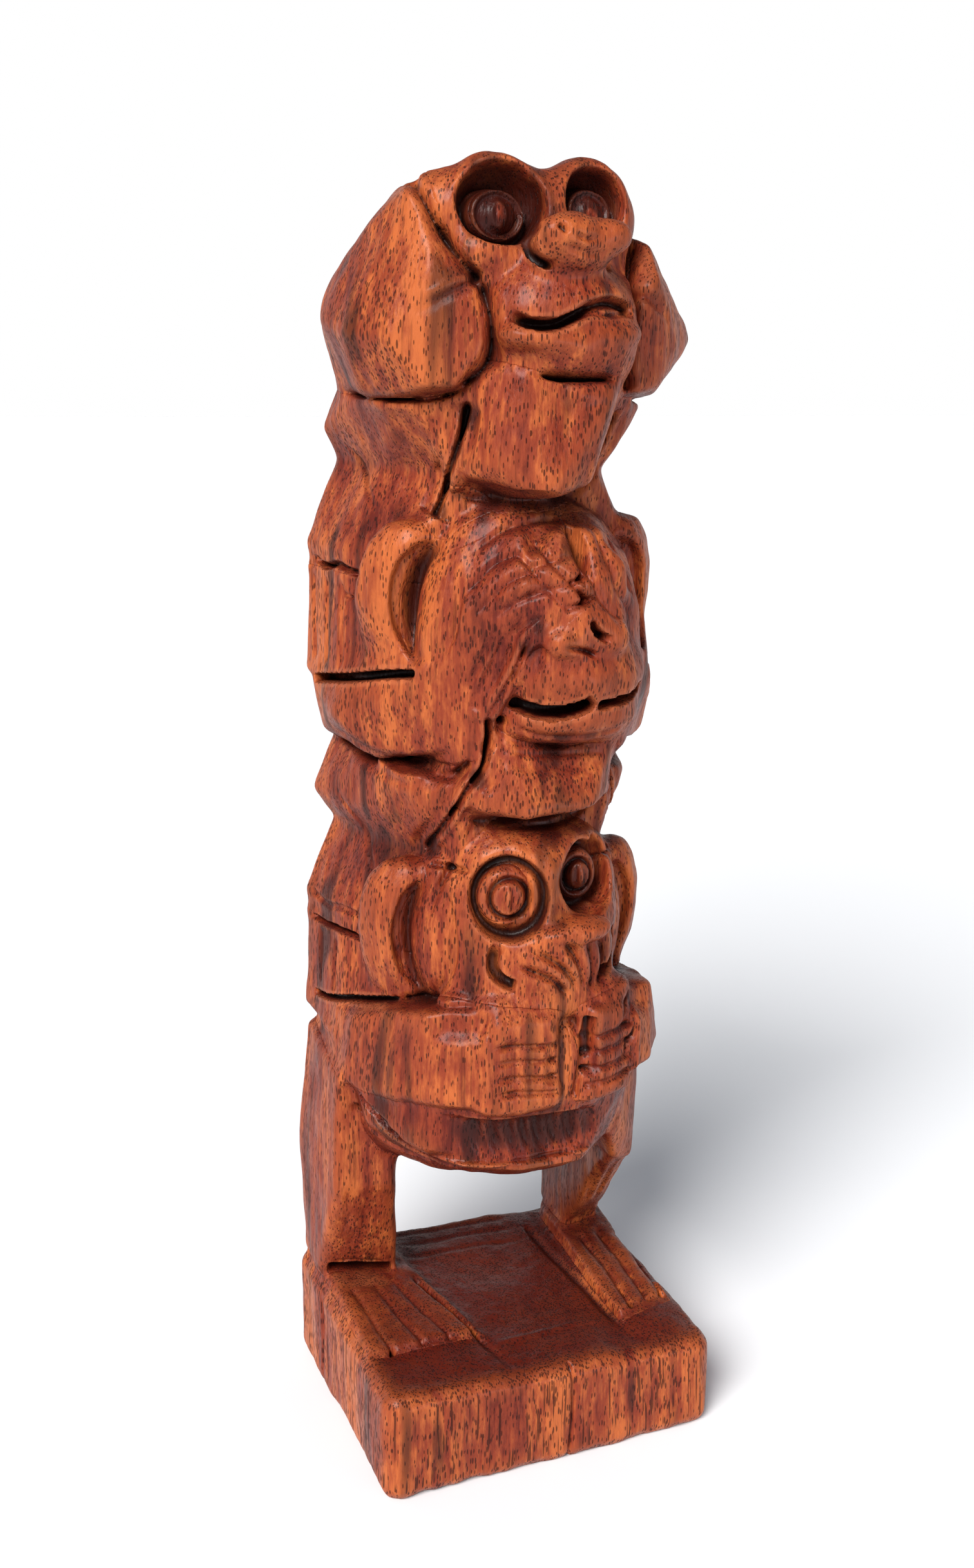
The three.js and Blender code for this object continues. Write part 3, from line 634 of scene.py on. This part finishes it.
    # fingers: a recess behind each row of knuckles, crossed by the grooves between the fingers
    for half in k.halves(3.4):
        half.stroke([(20.4, 3.6, 5), (20, 3.4, -5), (19.4, 3.6, -14)], 1.5, -0.8, (0.3, -1, 0), (0.2, 0.2),
            "cos")
        half.stroke([(14.6, 1.4, 2.6), (14.4, 1.2, -5), (14.2, 1.4, -12.6)], 4, 0.7, (0, -1, 0),
            (0.12, 0.12), "cos")
        half.stroke([(5.4, 0.4, -0.4), (5.2, 0.4, -11)], 2.2, 0.9, (0, -1, 0), (0.15, 0.15), "cos")
        for z, depth in ((-0.2, 1.3), (-4, 1.1), (-8, 1.2), (-11.6, 1.1)):
            half.stroke([(19.6, 3.2, z), (12, 1, z + 0.1), (3, 0, z - 0.7)], 1.7, 0.95 * depth,
                (0.15, -1, 0), (0.2, 0.1), "crease")
    for foot_x in (5.6, 8, 10.4):
        k.stroke([(8.2, 0.6, 5), (0.45 * foot_x + 4.45, 0.6, -5), (foot_x - 0.6, 0.8, -16)], 1.7, 0.9,
            (0, -1, 0), (0.06, 0.1), "cos", 5)
    k.stroke([(21.4, 6.2, 7.8), (19.6, 4, 4.6), (17.6, 2.2, 1.6)], 1.3, 1.9, (0.4, -1, 0), (0.3, 0.3))
    k.stroke([(22.6, 6.4, -0.6), (20.6, 4.4, -4.2), (18.4, 2.6, -7.6)], 1.3, 1.7, (0.4, -1, 0), (0.3, 0.3))
    # the drooping edge of the hands over the belly
    k.lump((-8.5, 4.4, -15.2), (9.5, 3.6, 2.6), turn=(0, 2, 0), blend=1.6)


def carve_belly(block):
    k = Knife(block, "speak_belly")
    # the belly lies back under the arms, over the bevel that runs along its foot
    k.stroke([(-24.1, 13.2, 20.8), (-13.1, 5.7, 19.8), (-1.1, 1.7, 19.2), (10.9, 1.7, 19.6),
        (19.9, 4.7, 20.4)], 6.4, 3.4, (0, -1, 0), (0.3, 0.25), "u", 9)
    # painted shade on the belly under the arms, and beside the left leg
    k.paint_shade((-1.1, 4.2, 21), (34, 10, 10), 1.7)
    k.paint_shade((28.9, 24.2, -8), (7.5, 9, 14), 2.2)
    flutes = {-17.6: 2, -13.5: 2.2, -9.3: 2, -5.3: 1.9, -1.7: 1.6, 1.5: 1.7, 5.5: 2, 9.9: 2.2, 14.5: 2.2}
    for x, width in flutes.items():
        k.stroke([(x - 0.6, 3.2, 25.5), (x + 0.6, 3.7, 19.5), (x + 2.6, 2.8, 14)], width, 1,
            (0.015 * (x - 4.9), -1, -0.2), (0.1, 0.35), "cos", 5)
    for step in range(7):
        k.stroke([(-34.7 + 2.1 * step, 27.2 - 2.2 * step, 25.5 - 2 * step),
            (-31.5 + 2.2 * step, 22.8 - 2 * step, 22.2 - 2 * step),
            (-27.3 + 2.2 * step, 19.7 - 1.9 * step, 20.4 - 2 * step)], 1.2, 1, (-0.7, -0.7, -0.2),
            (0.1, 0.2), "v", 5)
    k.stroke([(-35.1, 32.2, 19.5), (-31.1, 26.2, 15.5), (-25.1, 18.2, 11.8), (-19.1, 11.2, 9.4)], 1.3, 1,
        (-0.6, -0.7, -0.3), (0.1, 0.3))
    k.stroke([(-19.1, 11.6, 10.4), (-11.6, 6.6, 11.2), (-4.7, 2.8, 12), (2.9, 1.7, 12.2), (10.2, 1.9, 12.4),
        (16.9, 5.2, 13)], 0.9, 0.9, (0, -1, -0.5), (0.15, 0.15))
    # the legs: a fluted shin and the dark recess behind it
    for x in (30.1, 33.3, 36.3, 39.1):
        k.stroke([(x, 20.7, -3.5), (x + 1.2, 25.7, -9.5), (x + 2.6, 32.7, -17.5), (x + 3.2, 38.7, -25.5)],
            1.5, 0.8, (0.1, -0.8, -0.5), (0.2, 0.3), "v", 4)
    k.stroke([(23.3, 18.2, 0), (24.1, 26.2, -8), (25.1, 34.2, -18)], 1.8, 1, (-0.6, -0.8, 0), (0.2, 0.2))
    # the cut across the right ankle
    k.stroke([(-36.6, 45.7, -30.4), (-29.1, 42.8, -31), (-20.1, 41, -31.6)], 1.9, 3.2, (-0.2, -1, 0),
        (0.08, 0.1), "v", 7)
    k.stroke([(-35.1, 44.8, -28), (-29.1, 42.6, -28.6), (-22.1, 41.2, -29.2)], 0.7, 0.8, (-0.2, -1, 0),
        (0.2, 0.2), "v", 7)


# ---- the plinth
def carve_plinth(block):
    k = Knife(block, "base_plinth")
    # the feet run down to the plinth's top in front of the toes
    k.lump((-25.5, 12.9, 21.8), (15.5, 10.5, 5.6), blend=2)
    k.lump((31, 12.9, 21.4), (10, 9.5, 5.6), blend=2)
    # toes: grooves that stop at a ragged step
    for line in (
        [(-37.4, 43.9, 31), (-36.6, 29.9, 30), (-35.4, 17.3, 28.2)],
        [(-31.6, 43.9, 31), (-30, 29.9, 30.2), (-27.6, 17.5, 28.6)],
        [(-26.4, 43.9, 31), (-23.8, 29.9, 30.2), (-20.4, 17.1, 28.4)],
        [(-20.8, 43.9, 31), (-17.4, 29.9, 30), (-14, 17.5, 28)],
    ):
        k.stroke(line, 1.9, 0.9, (0, 0, 1), (0.1, 0.03), "crease")
    for line in (
        [(29, 49.9, 30), (28.4, 31.9, 29.4), (27.4, 14.4, 28.2)],
        [(34.4, 49.9, 30.2), (33.6, 31.9, 29.6), (32.4, 15.4, 28.6)],
        [(38.8, 47.9, 30.2), (38.2, 31.9, 29.6), (37, 16.5, 28)],
    ):
        k.stroke(line, 2.2, 1.3, (0, 0, 1), (0.1, 0.03), "crease")
    # the sunk panel between the feet, its step lines, and the faint ridges across it
    k.stroke([(-21, 45.9, 29.5), (-17.4, 31.9, 28), (-13.4, 16.9, 26.6), (-8.6, 1.9, 25.6)], 1.6, 1.1,
        (0, 0, 1), (0.1, 0.35))
    k.stroke([(18.8, 62.9, 27.5), (20.4, 41.9, 26.6), (21.8, 21.1, 25.8), (23.6, 2.9, 24.8)], 1.6, 1.1,
        (0, 0, 1), (0.05, 0.4))
    k.stroke([(-11, 14.3, 26.6), (2, 15.1, 26), (12, 15.9, 25.9), (22, 15.3, 26)], 1.6, -0.5, (0, 0, 1),
        (0.2, 0.2), "cos")
    for y in (66.9, 61.9, 55.9):
        k.stroke([(-20, y, 26), (0, y + 0.6, 26), (18, y - 0.4, 26)], 1.4, 0.45, (0, 0, 1), (0.2, 0.2))
    # two darker vertical bands down the plinth's front
    k.paint_shade((-31, -0.1, 8), (2.4, 6, 30), 1.8)
    k.paint_shade((20, -0.1, 20), (1.8, 5, 22), 1.8)
    # the crack down the front, dents in the sides and the chipped lower edge
    k.stroke([(3.4, 4.9, 25.6), (3.8, 0.3, 22), (3.9, -0.1, 12), (3.2, -0.1, 0)], 0.65, 1.1, (0, -1, 0.2),
        (0.1, 0), "v", 5)
    k.stroke([(-43, 49.9, 27), (-43, 48.9, 14), (-43, 50.5, 0)], 1.3, 0.8, (-1, 0, 0), (0.1, 0), "v", 5)
    for x, z in ((-34, 0), (-22, -0.6), (-6, 0), (9, -0.5), (22, 0), (35, -0.4)):
        k.scoop((x, -1.3, z), (4.4, 2.6, 1.7), blend=1)
    for y, z in ((11.9, 0), (27.9, -0.4), (44.9, 0), (60.9, -0.4)):
        for half in k.halves(0):
            half.scoop((44.2, y, z), (2.6, 4.6, 1.8), blend=1)


# ---- wood
class Graph:
    """Short calls for building a node material."""

    def __init__(self, tree):
        self.tree = tree
        self.tree.nodes.clear()

    def add(self, kind, inputs=(), **settings):
        node = self.tree.nodes.new(kind)
        for key, value in settings.items():
            setattr(node, key, value)
        for key, value in dict(inputs).items():
            self.put(value, node.inputs[key])
        return node

    def put(self, value, socket):
        if isinstance(value, bpy.types.NodeSocket):
            self.tree.links.new(value, socket)
        else:
            socket.default_value = value

    def math(self, operation, a, b=0.0):
        return self.add("ShaderNodeMath", {0: a, 1: b}, operation=operation).outputs[0]

    def vector(self, operation, a, b):
        return self.add("ShaderNodeVectorMath", {0: a, 1: b}, operation=operation).outputs[0]

    def noise(self, vector, scale, detail=2.0, roughness=0.5):
        """Noise from 0 to 1 that runs that many periods per mm along each axis."""
        inputs = {"Vector": self.vector("MULTIPLY", vector, scale), "Scale": 1.0, "Detail": detail}
        return self.add("ShaderNodeTexNoise", {**inputs, "Roughness": roughness}).outputs[0]

    def range(self, value, low, high, to_low=0.0, to_high=1.0):
        inputs = {"Value": value, "From Min": low, "From Max": high, "To Min": to_low, "To Max": to_high}
        return self.add("ShaderNodeMapRange", inputs, interpolation_type="SMOOTHSTEP").outputs[0]

    def mix(self, factor, a, b):
        node = self.add("ShaderNodeMix", data_type="RGBA")
        self.put(factor, node.inputs[0])
        self.put(a, node.inputs[6])
        self.put(b, node.inputs[7])
        return node.outputs[2]

    def pores(self, vector, cell, size, dimensions="3D"):
        """1 inside pores, one to each cell in mm, whose radius is that share of it; in 2D they are lines."""
        inputs = {"Vector": self.vector("MULTIPLY", vector, tuple(1 / c for c in cell)), "Scale": 1.0}
        cells = self.add("ShaderNodeTexVoronoi", inputs, feature="F1", voronoi_dimensions=dimensions)
        distance = cells.outputs["Distance"]
        return self.range(self.math("DIVIDE", distance, size), 1.2, 0.75)


# Linear colours of the wood, two of them the colours of the shade painted on it
DARK = (0.030, 0.0034, 0.0017, 1)
RED = (0.105, 0.0105, 0.0048, 1)
BROWN = (0.215, 0.031, 0.0110, 1)
AMBER = (0.455, 0.108, 0.0270, 1)
END = (0.085, 0.0085, 0.0042, 1)
# the colour of painted shade, laid in hollows and deep places
PAINTED_SHADE = (0.032, 0.0040, 0.0020, 1)
# the near-black of painted shade in the narrow cuts
CUT_SHADE = (0.006, 0.0010, 0.0006, 1)
WORN = (0.520, 0.160, 0.065, 1)
PORE = (0.014, 0.0022, 0.0014, 1)

# The last four arguments of wood() for each material slot
WOODS = {
    "face_wood": (0.02, 0.45, 0.48, 0.3),
    "limb_wood": (0.0, 0.75, 0.50, 0.4),
    # the belly's wood is darker: partly its own tone, partly painted shade under the arms
    "belly_wood": (-0.12, 0.40, 0.38, 0.4),
    "back_wood": (-0.04, 0.45, 0.54, 0.5),
    "eye_wood": (-0.12, 0.30, 0.40, 0.2),
    "plinth_wood": (0.06, 0.95, 0.44, 1.0),
}

# The swells left by hand tools: their height in mm, their lattice's cell in mm, and its size in cells
SWELLS = (
    (1.0, (7.0, 7.0, 10.0), (24, 24, 60)),
    (0.34, (2.4, 2.4, 3.6), (60, 60, 140)),
    (0.26, (1.3, 1.3, 5.0), (110, 110, 100)),
)

# What the worn edges and the painted shade and light of the wood follow, each a blurred field: the blur in mm,
# and the lattice points per kept one
EDGE_BLUR = 0.8
HOLLOW_BLUR, HOLLOW_STEP = 3.2, 2
DEEP_BLUR, DEEP_STEP = 4.8, 4
TONE_BAND = 4  # mm from the surface beyond which edges and hollows don't show


def wood(name, amber, end, gloss, lines):
    """Oiled coarse-pored hardwood with its grain along Z, pale on worn edges, with painted shade in its cuts,
    hollows and deep places and painted light on its broad bulges.

    amber shifts its colour from red to amber, end is how red it is across the grain, gloss its roughness, and
    lines how strong its long dark vessel lines are.
    """
    material = bpy.data.materials.new(name)
    material.use_nodes = True
    g = Graph(material.node_tree)
    mm = g.vector("MULTIPLY", g.add("ShaderNodeTexCoord").outputs["Object"], (1000.0, 1000.0, 1000.0))
    stretched = g.vector("MULTIPLY", mm, (0.03, 0.03, 0.012))
    drift = g.add("ShaderNodeTexNoise", {"Vector": stretched, "Scale": 1.0})
    grain = g.vector("ADD", mm, g.vector("MULTIPLY", drift.outputs["Color"], (8.0, 8.0, 8.0)))
    normal = g.add("ShaderNodeNewGeometry").outputs["Normal"]
    upright = g.add("ShaderNodeSeparateXYZ", {0: normal}).outputs[2]

    zones = g.noise(grain, (0.06, 0.06, 0.014), 2.0)
    streaks = g.noise(grain, (0.30, 0.30, 0.018), 3.0, 0.6)
    fibres = g.noise(grain, (1.3, 1.3, 0.10), 3.0, 0.65)
    mottle = g.noise(mm, (0.45, 0.45, 0.16), 4.0, 0.65)
    tone = g.math("ADD", g.math("MULTIPLY", streaks, 0.60), g.math("MULTIPLY", zones, 0.75))
    tone = g.math("ADD", tone, g.math("MULTIPLY", g.math("SUBTRACT", fibres, 0.5), 0.40))
    tone = g.math("ADD", tone, g.math("MULTIPLY", g.math("SUBTRACT", mottle, 0.5), 0.55))
    tone = g.math("ADD", tone, amber - 0.12)
    colour = g.mix(g.range(tone, 0.34, 0.52), RED, BROWN)
    colour = g.mix(g.range(tone, 0.50, 0.78), colour, AMBER)
    bands = g.noise(grain, (0.15, 0.15, 0.005), 2.0)
    colour = g.mix(g.range(bands, 0.55, 0.70, 0.0, 0.85), colour, DARK)
    colour = g.mix(g.range(g.math("ABSOLUTE", upright), 0.35, 0.95, 0.0, end), colour, END)

    for layer, low, high, most, tint in (
        ("edge", 0.12, 0.50, 0.24, WORN),
        # painted light: broad bulges paler, as if more lit
        ("deep", 0.3, 2.4, 0.35, AMBER),
        # painted shade in deep places and in hollows
        ("deep", -0.3, -2.4, 0.88, PAINTED_SHADE),
        ("hollow", -0.15, -1.6, 0.60, PAINTED_SHADE),
        # near-black painted shade in the narrow cuts
        ("edge", -0.14, -0.70, 0.85, CUT_SHADE),
    ):
        value = g.add("ShaderNodeAttribute", attribute_name=layer).outputs["Fac"]
        colour = g.mix(g.range(value, low, high, 0.0, most), colour, tint)

    crowd = g.range(g.noise(grain, (0.10, 0.10, 0.025), 2.0), 0.35, 0.65, 0.21, 0.34)
    short = g.pores(mm, (0.62, 0.62, 2.9), crowd)
    broken = g.range(g.noise(grain, (0.9, 0.9, 0.07), 1.0), 0.42, 0.58, 0.0, lines)
    long = g.math("MULTIPLY", g.pores(grain, (0.85, 0.85, 1.0), 0.26, "2D"), broken)
    pore = g.math("MAXIMUM", short, long)
    colour = g.mix(g.math("MULTIPLY", pore, 0.75), colour, PORE)

    rough = g.range(g.noise(mm, (0.2, 0.2, 0.08), 2.0), 0.3, 0.7, gloss - 0.08, gloss + 0.1)
    rough = g.math("ADD", rough, g.math("MULTIPLY", pore, 0.3))
    height = g.math("ADD", g.math("MULTIPLY", pore, -0.20), g.math("MULTIPLY", fibres, 0.20))
    height = g.math("ADD", height, g.math("MULTIPLY", mottle, 0.45))
    bump = g.add("ShaderNodeBump", {"Strength": 0.9, "Distance": 0.001, "Height": height}).outputs[0]
    inputs = {"Base Color": colour, "Roughness": rough, "Normal": bump, "Specular IOR Level": 0.15}
    shader = g.add("ShaderNodeBsdfPrincipled", {**inputs, "Coat Weight": 0.10, "Coat Roughness": 0.22})
    g.add("ShaderNodeOutputMaterial", {0: shader.outputs[0]})
    return material


# ---- pieces
def roughen(block, swells, cell):
    """Adds slow uneven swells: a cubic B-spline through a lattice of random heights, its cells in mm."""
    weights = []
    for size, low, length, count in zip(block.values.shape, block.low, cell, swells.shape):
        at = (np.arange(size) + low) * VOXEL / length + count
        base = np.floor(at).astype(int)
        t = at - base
        splines = ((1 - t) ** 3, 3 * t**3 - 6 * t**2 + 4, -3 * t**3 + 3 * t**2 + 3 * t + 1, t**3)
        share = np.zeros((size, count), np.float32)
        for k, spline in enumerate(splines):
            share[np.arange(size), (base + k) % count] += (spline / 6).astype(np.float32)
        weights.append(share)
    part = np.einsum("xa,abc->xbc", weights[0], swells, optimize=True)
    part = np.einsum("yb,xbc->xyc", weights[1], part, optimize=True)
    block.values += np.einsum("zc,xyc->xyz", weights[2], part, optimize=True).astype(np.float32)


def sample(field, points, step):
    """A field's values at points in mm, where the field keeps only every step-th lattice point."""
    index = (points / VOXEL - field.low) / step
    base = np.clip(np.floor(index).astype(int), 0, np.array(field.values.shape) - 2)
    t = (index - base).astype(np.float32)
    value = 0
    for corner in np.ndindex(2, 2, 2):
        at = base + corner
        weight = np.prod(np.where(corner, t, 1 - t), axis=1)
        value = value + weight * field.values[at[:, 0], at[:, 1], at[:, 2]]
    return value


def darkness(field, points):
    """How far out points lie in a field that keeps every DEEP_STEP-th point, less the spots of painted shade;
    this sets the broad painted shade and light.
    """
    value = sample(field, points, DEEP_STEP)
    for centre, radii, amount in painted_shades:
        value = value - amount * ramp(1 - np.linalg.norm((points - centre) / radii, axis=1), 0, 0.6)
    return value


def largest_part(points, triangles, quads):
    """Drops any crumb that the cuts have parted from the rest of the mesh."""
    sides = [triangles[:, [k, k + 1]] for k in (0, 1)] + [quads[:, [k, k + 1]] for k in (0, 1, 2)]
    links = np.concatenate(sides)
    label = np.arange(len(points))
    while True:
        lowest = np.minimum(label[links[:, 0]], label[links[:, 1]])
        new = label.copy()
        np.minimum.at(new, links[:, 0], lowest)
        np.minimum.at(new, links[:, 1], lowest)
        new = new[new]
        if np.array_equal(new, label):
            break
        label = new
    kept = label == np.bincount(label).argmax()
    renumbered = np.cumsum(kept) - 1
    triangles = renumbered[triangles[kept[triangles[:, 0]]]]
    quads = renumbered[quads[kept[quads[:, 0]]]]
    return points[kept], triangles, quads


def mesh_of(values, low):
    """The surface where the values are 0, as points in mm, triangles and quads."""
    limit = np.float32(3 * VOXEL)
    grid = openvdb.FloatGrid(limit)
    grid.transform = openvdb.createLinearTransform(voxelSize=VOXEL)
    grid.copyFromArray(np.clip(values, -limit, limit), ijk=tuple(int(i) for i in low))
    return largest_part(*grid.convertToPolygons(isovalue=0.0, adaptivity=0.0))


def signed_volume(points, triangles):
    a, b, c = (points[triangles[:, i]].astype(float) for i in range(3))
    return float(np.einsum("ij,ij->i", a, np.cross(b, c)).sum()) / 6


def make_piece(name, points, triangles, quads, layers):
    """A Blender mesh with those attributes on its points, wound with its faces pointing out."""
    halves = np.concatenate([triangles, quads[:, [0, 1, 2]], quads[:, [0, 2, 3]]])
    if signed_volume(points, halves) < 0:
        triangles, quads = triangles[:, ::-1], quads[:, ::-1]
    corners = np.concatenate([quads.reshape(-1), triangles.reshape(-1)]).astype(np.int32)
    sizes = np.concatenate([np.full(len(quads), 4), np.full(len(triangles), 3)])
    starts = np.concatenate([[0], np.cumsum(sizes)[:-1]]).astype(np.int32)
    mesh = bpy.data.meshes.new(name)
    mesh.vertices.add(len(points))
    mesh.vertices.foreach_set("co", (points * MM).astype(np.float32).reshape(-1))
    mesh.loops.add(len(corners))
    mesh.loops.foreach_set("vertex_index", corners)
    mesh.polygons.add(len(sizes))
    mesh.polygons.foreach_set("loop_start", starts)
    mesh.polygons.foreach_set("use_smooth", np.ones(len(sizes), bool))
    mesh.update(calc_edges=True)
    mesh.validate()
    for layer, values in layers.items():
        attribute = mesh.attributes.new(layer, "FLOAT", "POINT")
        attribute.data.foreach_set("value", values.astype(np.float32))
    piece = bpy.data.objects.new(name, mesh)
    bpy.context.scene.collection.objects.link(piece)
    return piece


def share_out(block, nearest, second, forms):
    """Makes one piece of each CAD form from the part of the block that lies nearest to it."""
    clipped = np.clip(block.values, -TONE_BAND, TONE_BAND)

    def blurred(values, sigma, step):
        return Field(block.low, blur(values[::step, ::step, ::step], sigma / (step * VOXEL)))

    edges = blurred(clipped, EDGE_BLUR, 1)
    hollows = blurred(clipped, HOLLOW_BLUR, HOLLOW_STEP)
    depths = blurred(block.values, DEEP_BLUR, DEEP_STEP)
    woods = {name: wood(name, *look) for name, look in WOODS.items()}
    slots = {entry["node"]: entry["material_slot"] for entry in frame["record"]["subparts"]}

    def surface(name):
        form = forms[name]
        mine, theirs = block.shared(form)
        value = form.values[theirs]
        other = np.where(value <= nearest.values[mine], second.values[mine], nearest.values[mine])
        bounded = np.maximum(block.values[mine], (value - other) / 2 - np.float32(LAP))
        low = np.maximum(block.low, form.low)
        return mesh_of(bounded, low)

    with ThreadPoolExecutor(WORKERS) as pool:
        meshes = dict(zip(forms, pool.map(surface, forms)))
    faces = 0
    for name, (points, triangles, quads) in meshes.items():
        # the fields for the worn edges and for the painted shade and light
        layers = {
            "edge": sample(edges, points, 1),
            "hollow": sample(hollows, points, HOLLOW_STEP),
            "deep": darkness(depths, points),
        }
        piece = make_piece(name + "_wood", points, triangles, quads, layers)
        piece.data.materials.append(woods[slots[name]])
        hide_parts(name)
        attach(piece, "root")
        faces += len(triangles) + 2 * len(quads)
    print("pieces:", len(meshes), "triangles:", faces)


# ---- camera, light and floor
LENS = 37.65  # mm, on a sensor 36 mm wide
CAMERA_AT = (-0.153, -0.3424, 0.260)
CAMERA_TURN = (23.3, 14.8, 0.89)  # degrees it heads towards +X from +Y, looks down and rolls


def make_camera():
    """The camera stands to the figure's right, a little above its middle, and looks down at it."""
    camera = bpy.data.cameras.new("camera")
    camera.sensor_fit = "AUTO"
    camera.sensor_width = 36.0
    camera.lens = LENS
    camera.clip_start = 0.01
    heading, pitch, roll = (math.radians(v) for v in CAMERA_TURN)
    forward = Vector((math.sin(heading), math.cos(heading), 0))
    ahead = forward * math.cos(pitch) - Vector((0, 0, math.sin(pitch)))
    level = Vector((math.cos(heading), -math.sin(heading), 0))
    above = level.cross(ahead)
    right = level * math.cos(roll) + above * math.sin(roll)
    up = -level * math.sin(roll) + above * math.cos(roll)
    turn = Matrix((right, up, -ahead)).transposed().to_4x4()
    holder = bpy.data.objects.new("camera", camera)
    holder.matrix_world = Matrix.Translation(CAMERA_AT) @ turn
    bpy.context.scene.collection.objects.link(holder)
    bpy.context.scene.camera = holder


def add_light(kind, name, place, target, power, colour, **settings):
    light = bpy.data.lights.new(name, kind)
    light.energy = power
    light.color = colour
    for key, value in settings.items():
        setattr(light, key, value)
    holder = bpy.data.objects.new(name, light)
    holder.location = place
    holder.rotation_euler = (Vector(target) - Vector(place)).to_track_quat("-Z", "Y").to_euler()
    bpy.context.scene.collection.objects.link(holder)


def make_stage():
    middle = (0, 0, 0.15)
    window = (-0.78, -0.68, 0.85)
    add_light("SUN", "window", window, (0, 0, 0), 4.5, (1.0, 0.96, 0.93), angle=math.radians(28))
    add_light("AREA", "low_fill", (0.25, -0.8, 0.06), middle, 1.6, (0.80, 0.88, 1.0), size=0.35)
    world = bpy.data.worlds.new("studio")
    world.use_nodes = True
    g = Graph(world.node_tree)
    direction = g.add("ShaderNodeTexCoord").outputs["Generated"]
    height = g.add("ShaderNodeSeparateXYZ", {0: direction}).outputs[2]
    facing = g.add("ShaderNodeVectorMath", {0: direction, 1: (0.396, 0.918, 0.0)}, operation="DOT_PRODUCT")
    behind = facing.outputs["Value"]
    wall = g.mix(g.range(behind, 0.30, 0.75), (0.46, 0.47, 0.49, 1), (1.0, 1.0, 1.0, 1))
    sky = g.mix(g.range(height, 0.20, 0.55), wall, (0.20, 0.21, 0.23, 1))
    back = g.add("ShaderNodeBackground", {"Color": sky, "Strength": 1.0})
    g.add("ShaderNodeOutputWorld", {0: back.outputs[0]})
    bpy.context.scene.world = world
    bpy.ops.mesh.primitive_plane_add(size=12.0, location=(0, 0, cad_box[0][2]))
    floor = bpy.context.object
    floor.name = "floor"
    paint = bpy.data.materials.new("floor")
    paint.use_nodes = True
    g = Graph(paint.node_tree)
    shader = g.add("ShaderNodeBsdfPrincipled", {"Base Color": (0.90, 0.93, 0.96, 1), "Roughness": 0.8})
    g.add("ShaderNodeOutputMaterial", {0: shader.outputs[0]})
    floor.data.materials.append(paint)
    bpy.context.scene.view_settings.view_transform = "Standard"


# ---- all together
def main():
    names = sorted(frame["nodes"])
    with ThreadPoolExecutor(WORKERS) as pool:
        forms = dict(zip(names, pool.map(field_of, names)))
    block, nearest, second = merged(forms)
    carve_hear(block)
    carve_see(block)
    carve_speak(block)
    carve_belly(block)
    carve_plinth(block)
    swells = np.random.default_rng(7)
    for height, cell, counts in SWELLS:
        roughen(block, swells.uniform(-height, height, counts).astype(np.float32), cell)
    ground = np.arange(block.values.shape[2], dtype=np.float32) + np.float32(block.low[2])
    block.values = np.maximum(block.values, ground * np.float32(-VOXEL))
    share_out(block, nearest, second, forms)


main()
make_camera()
make_stage()
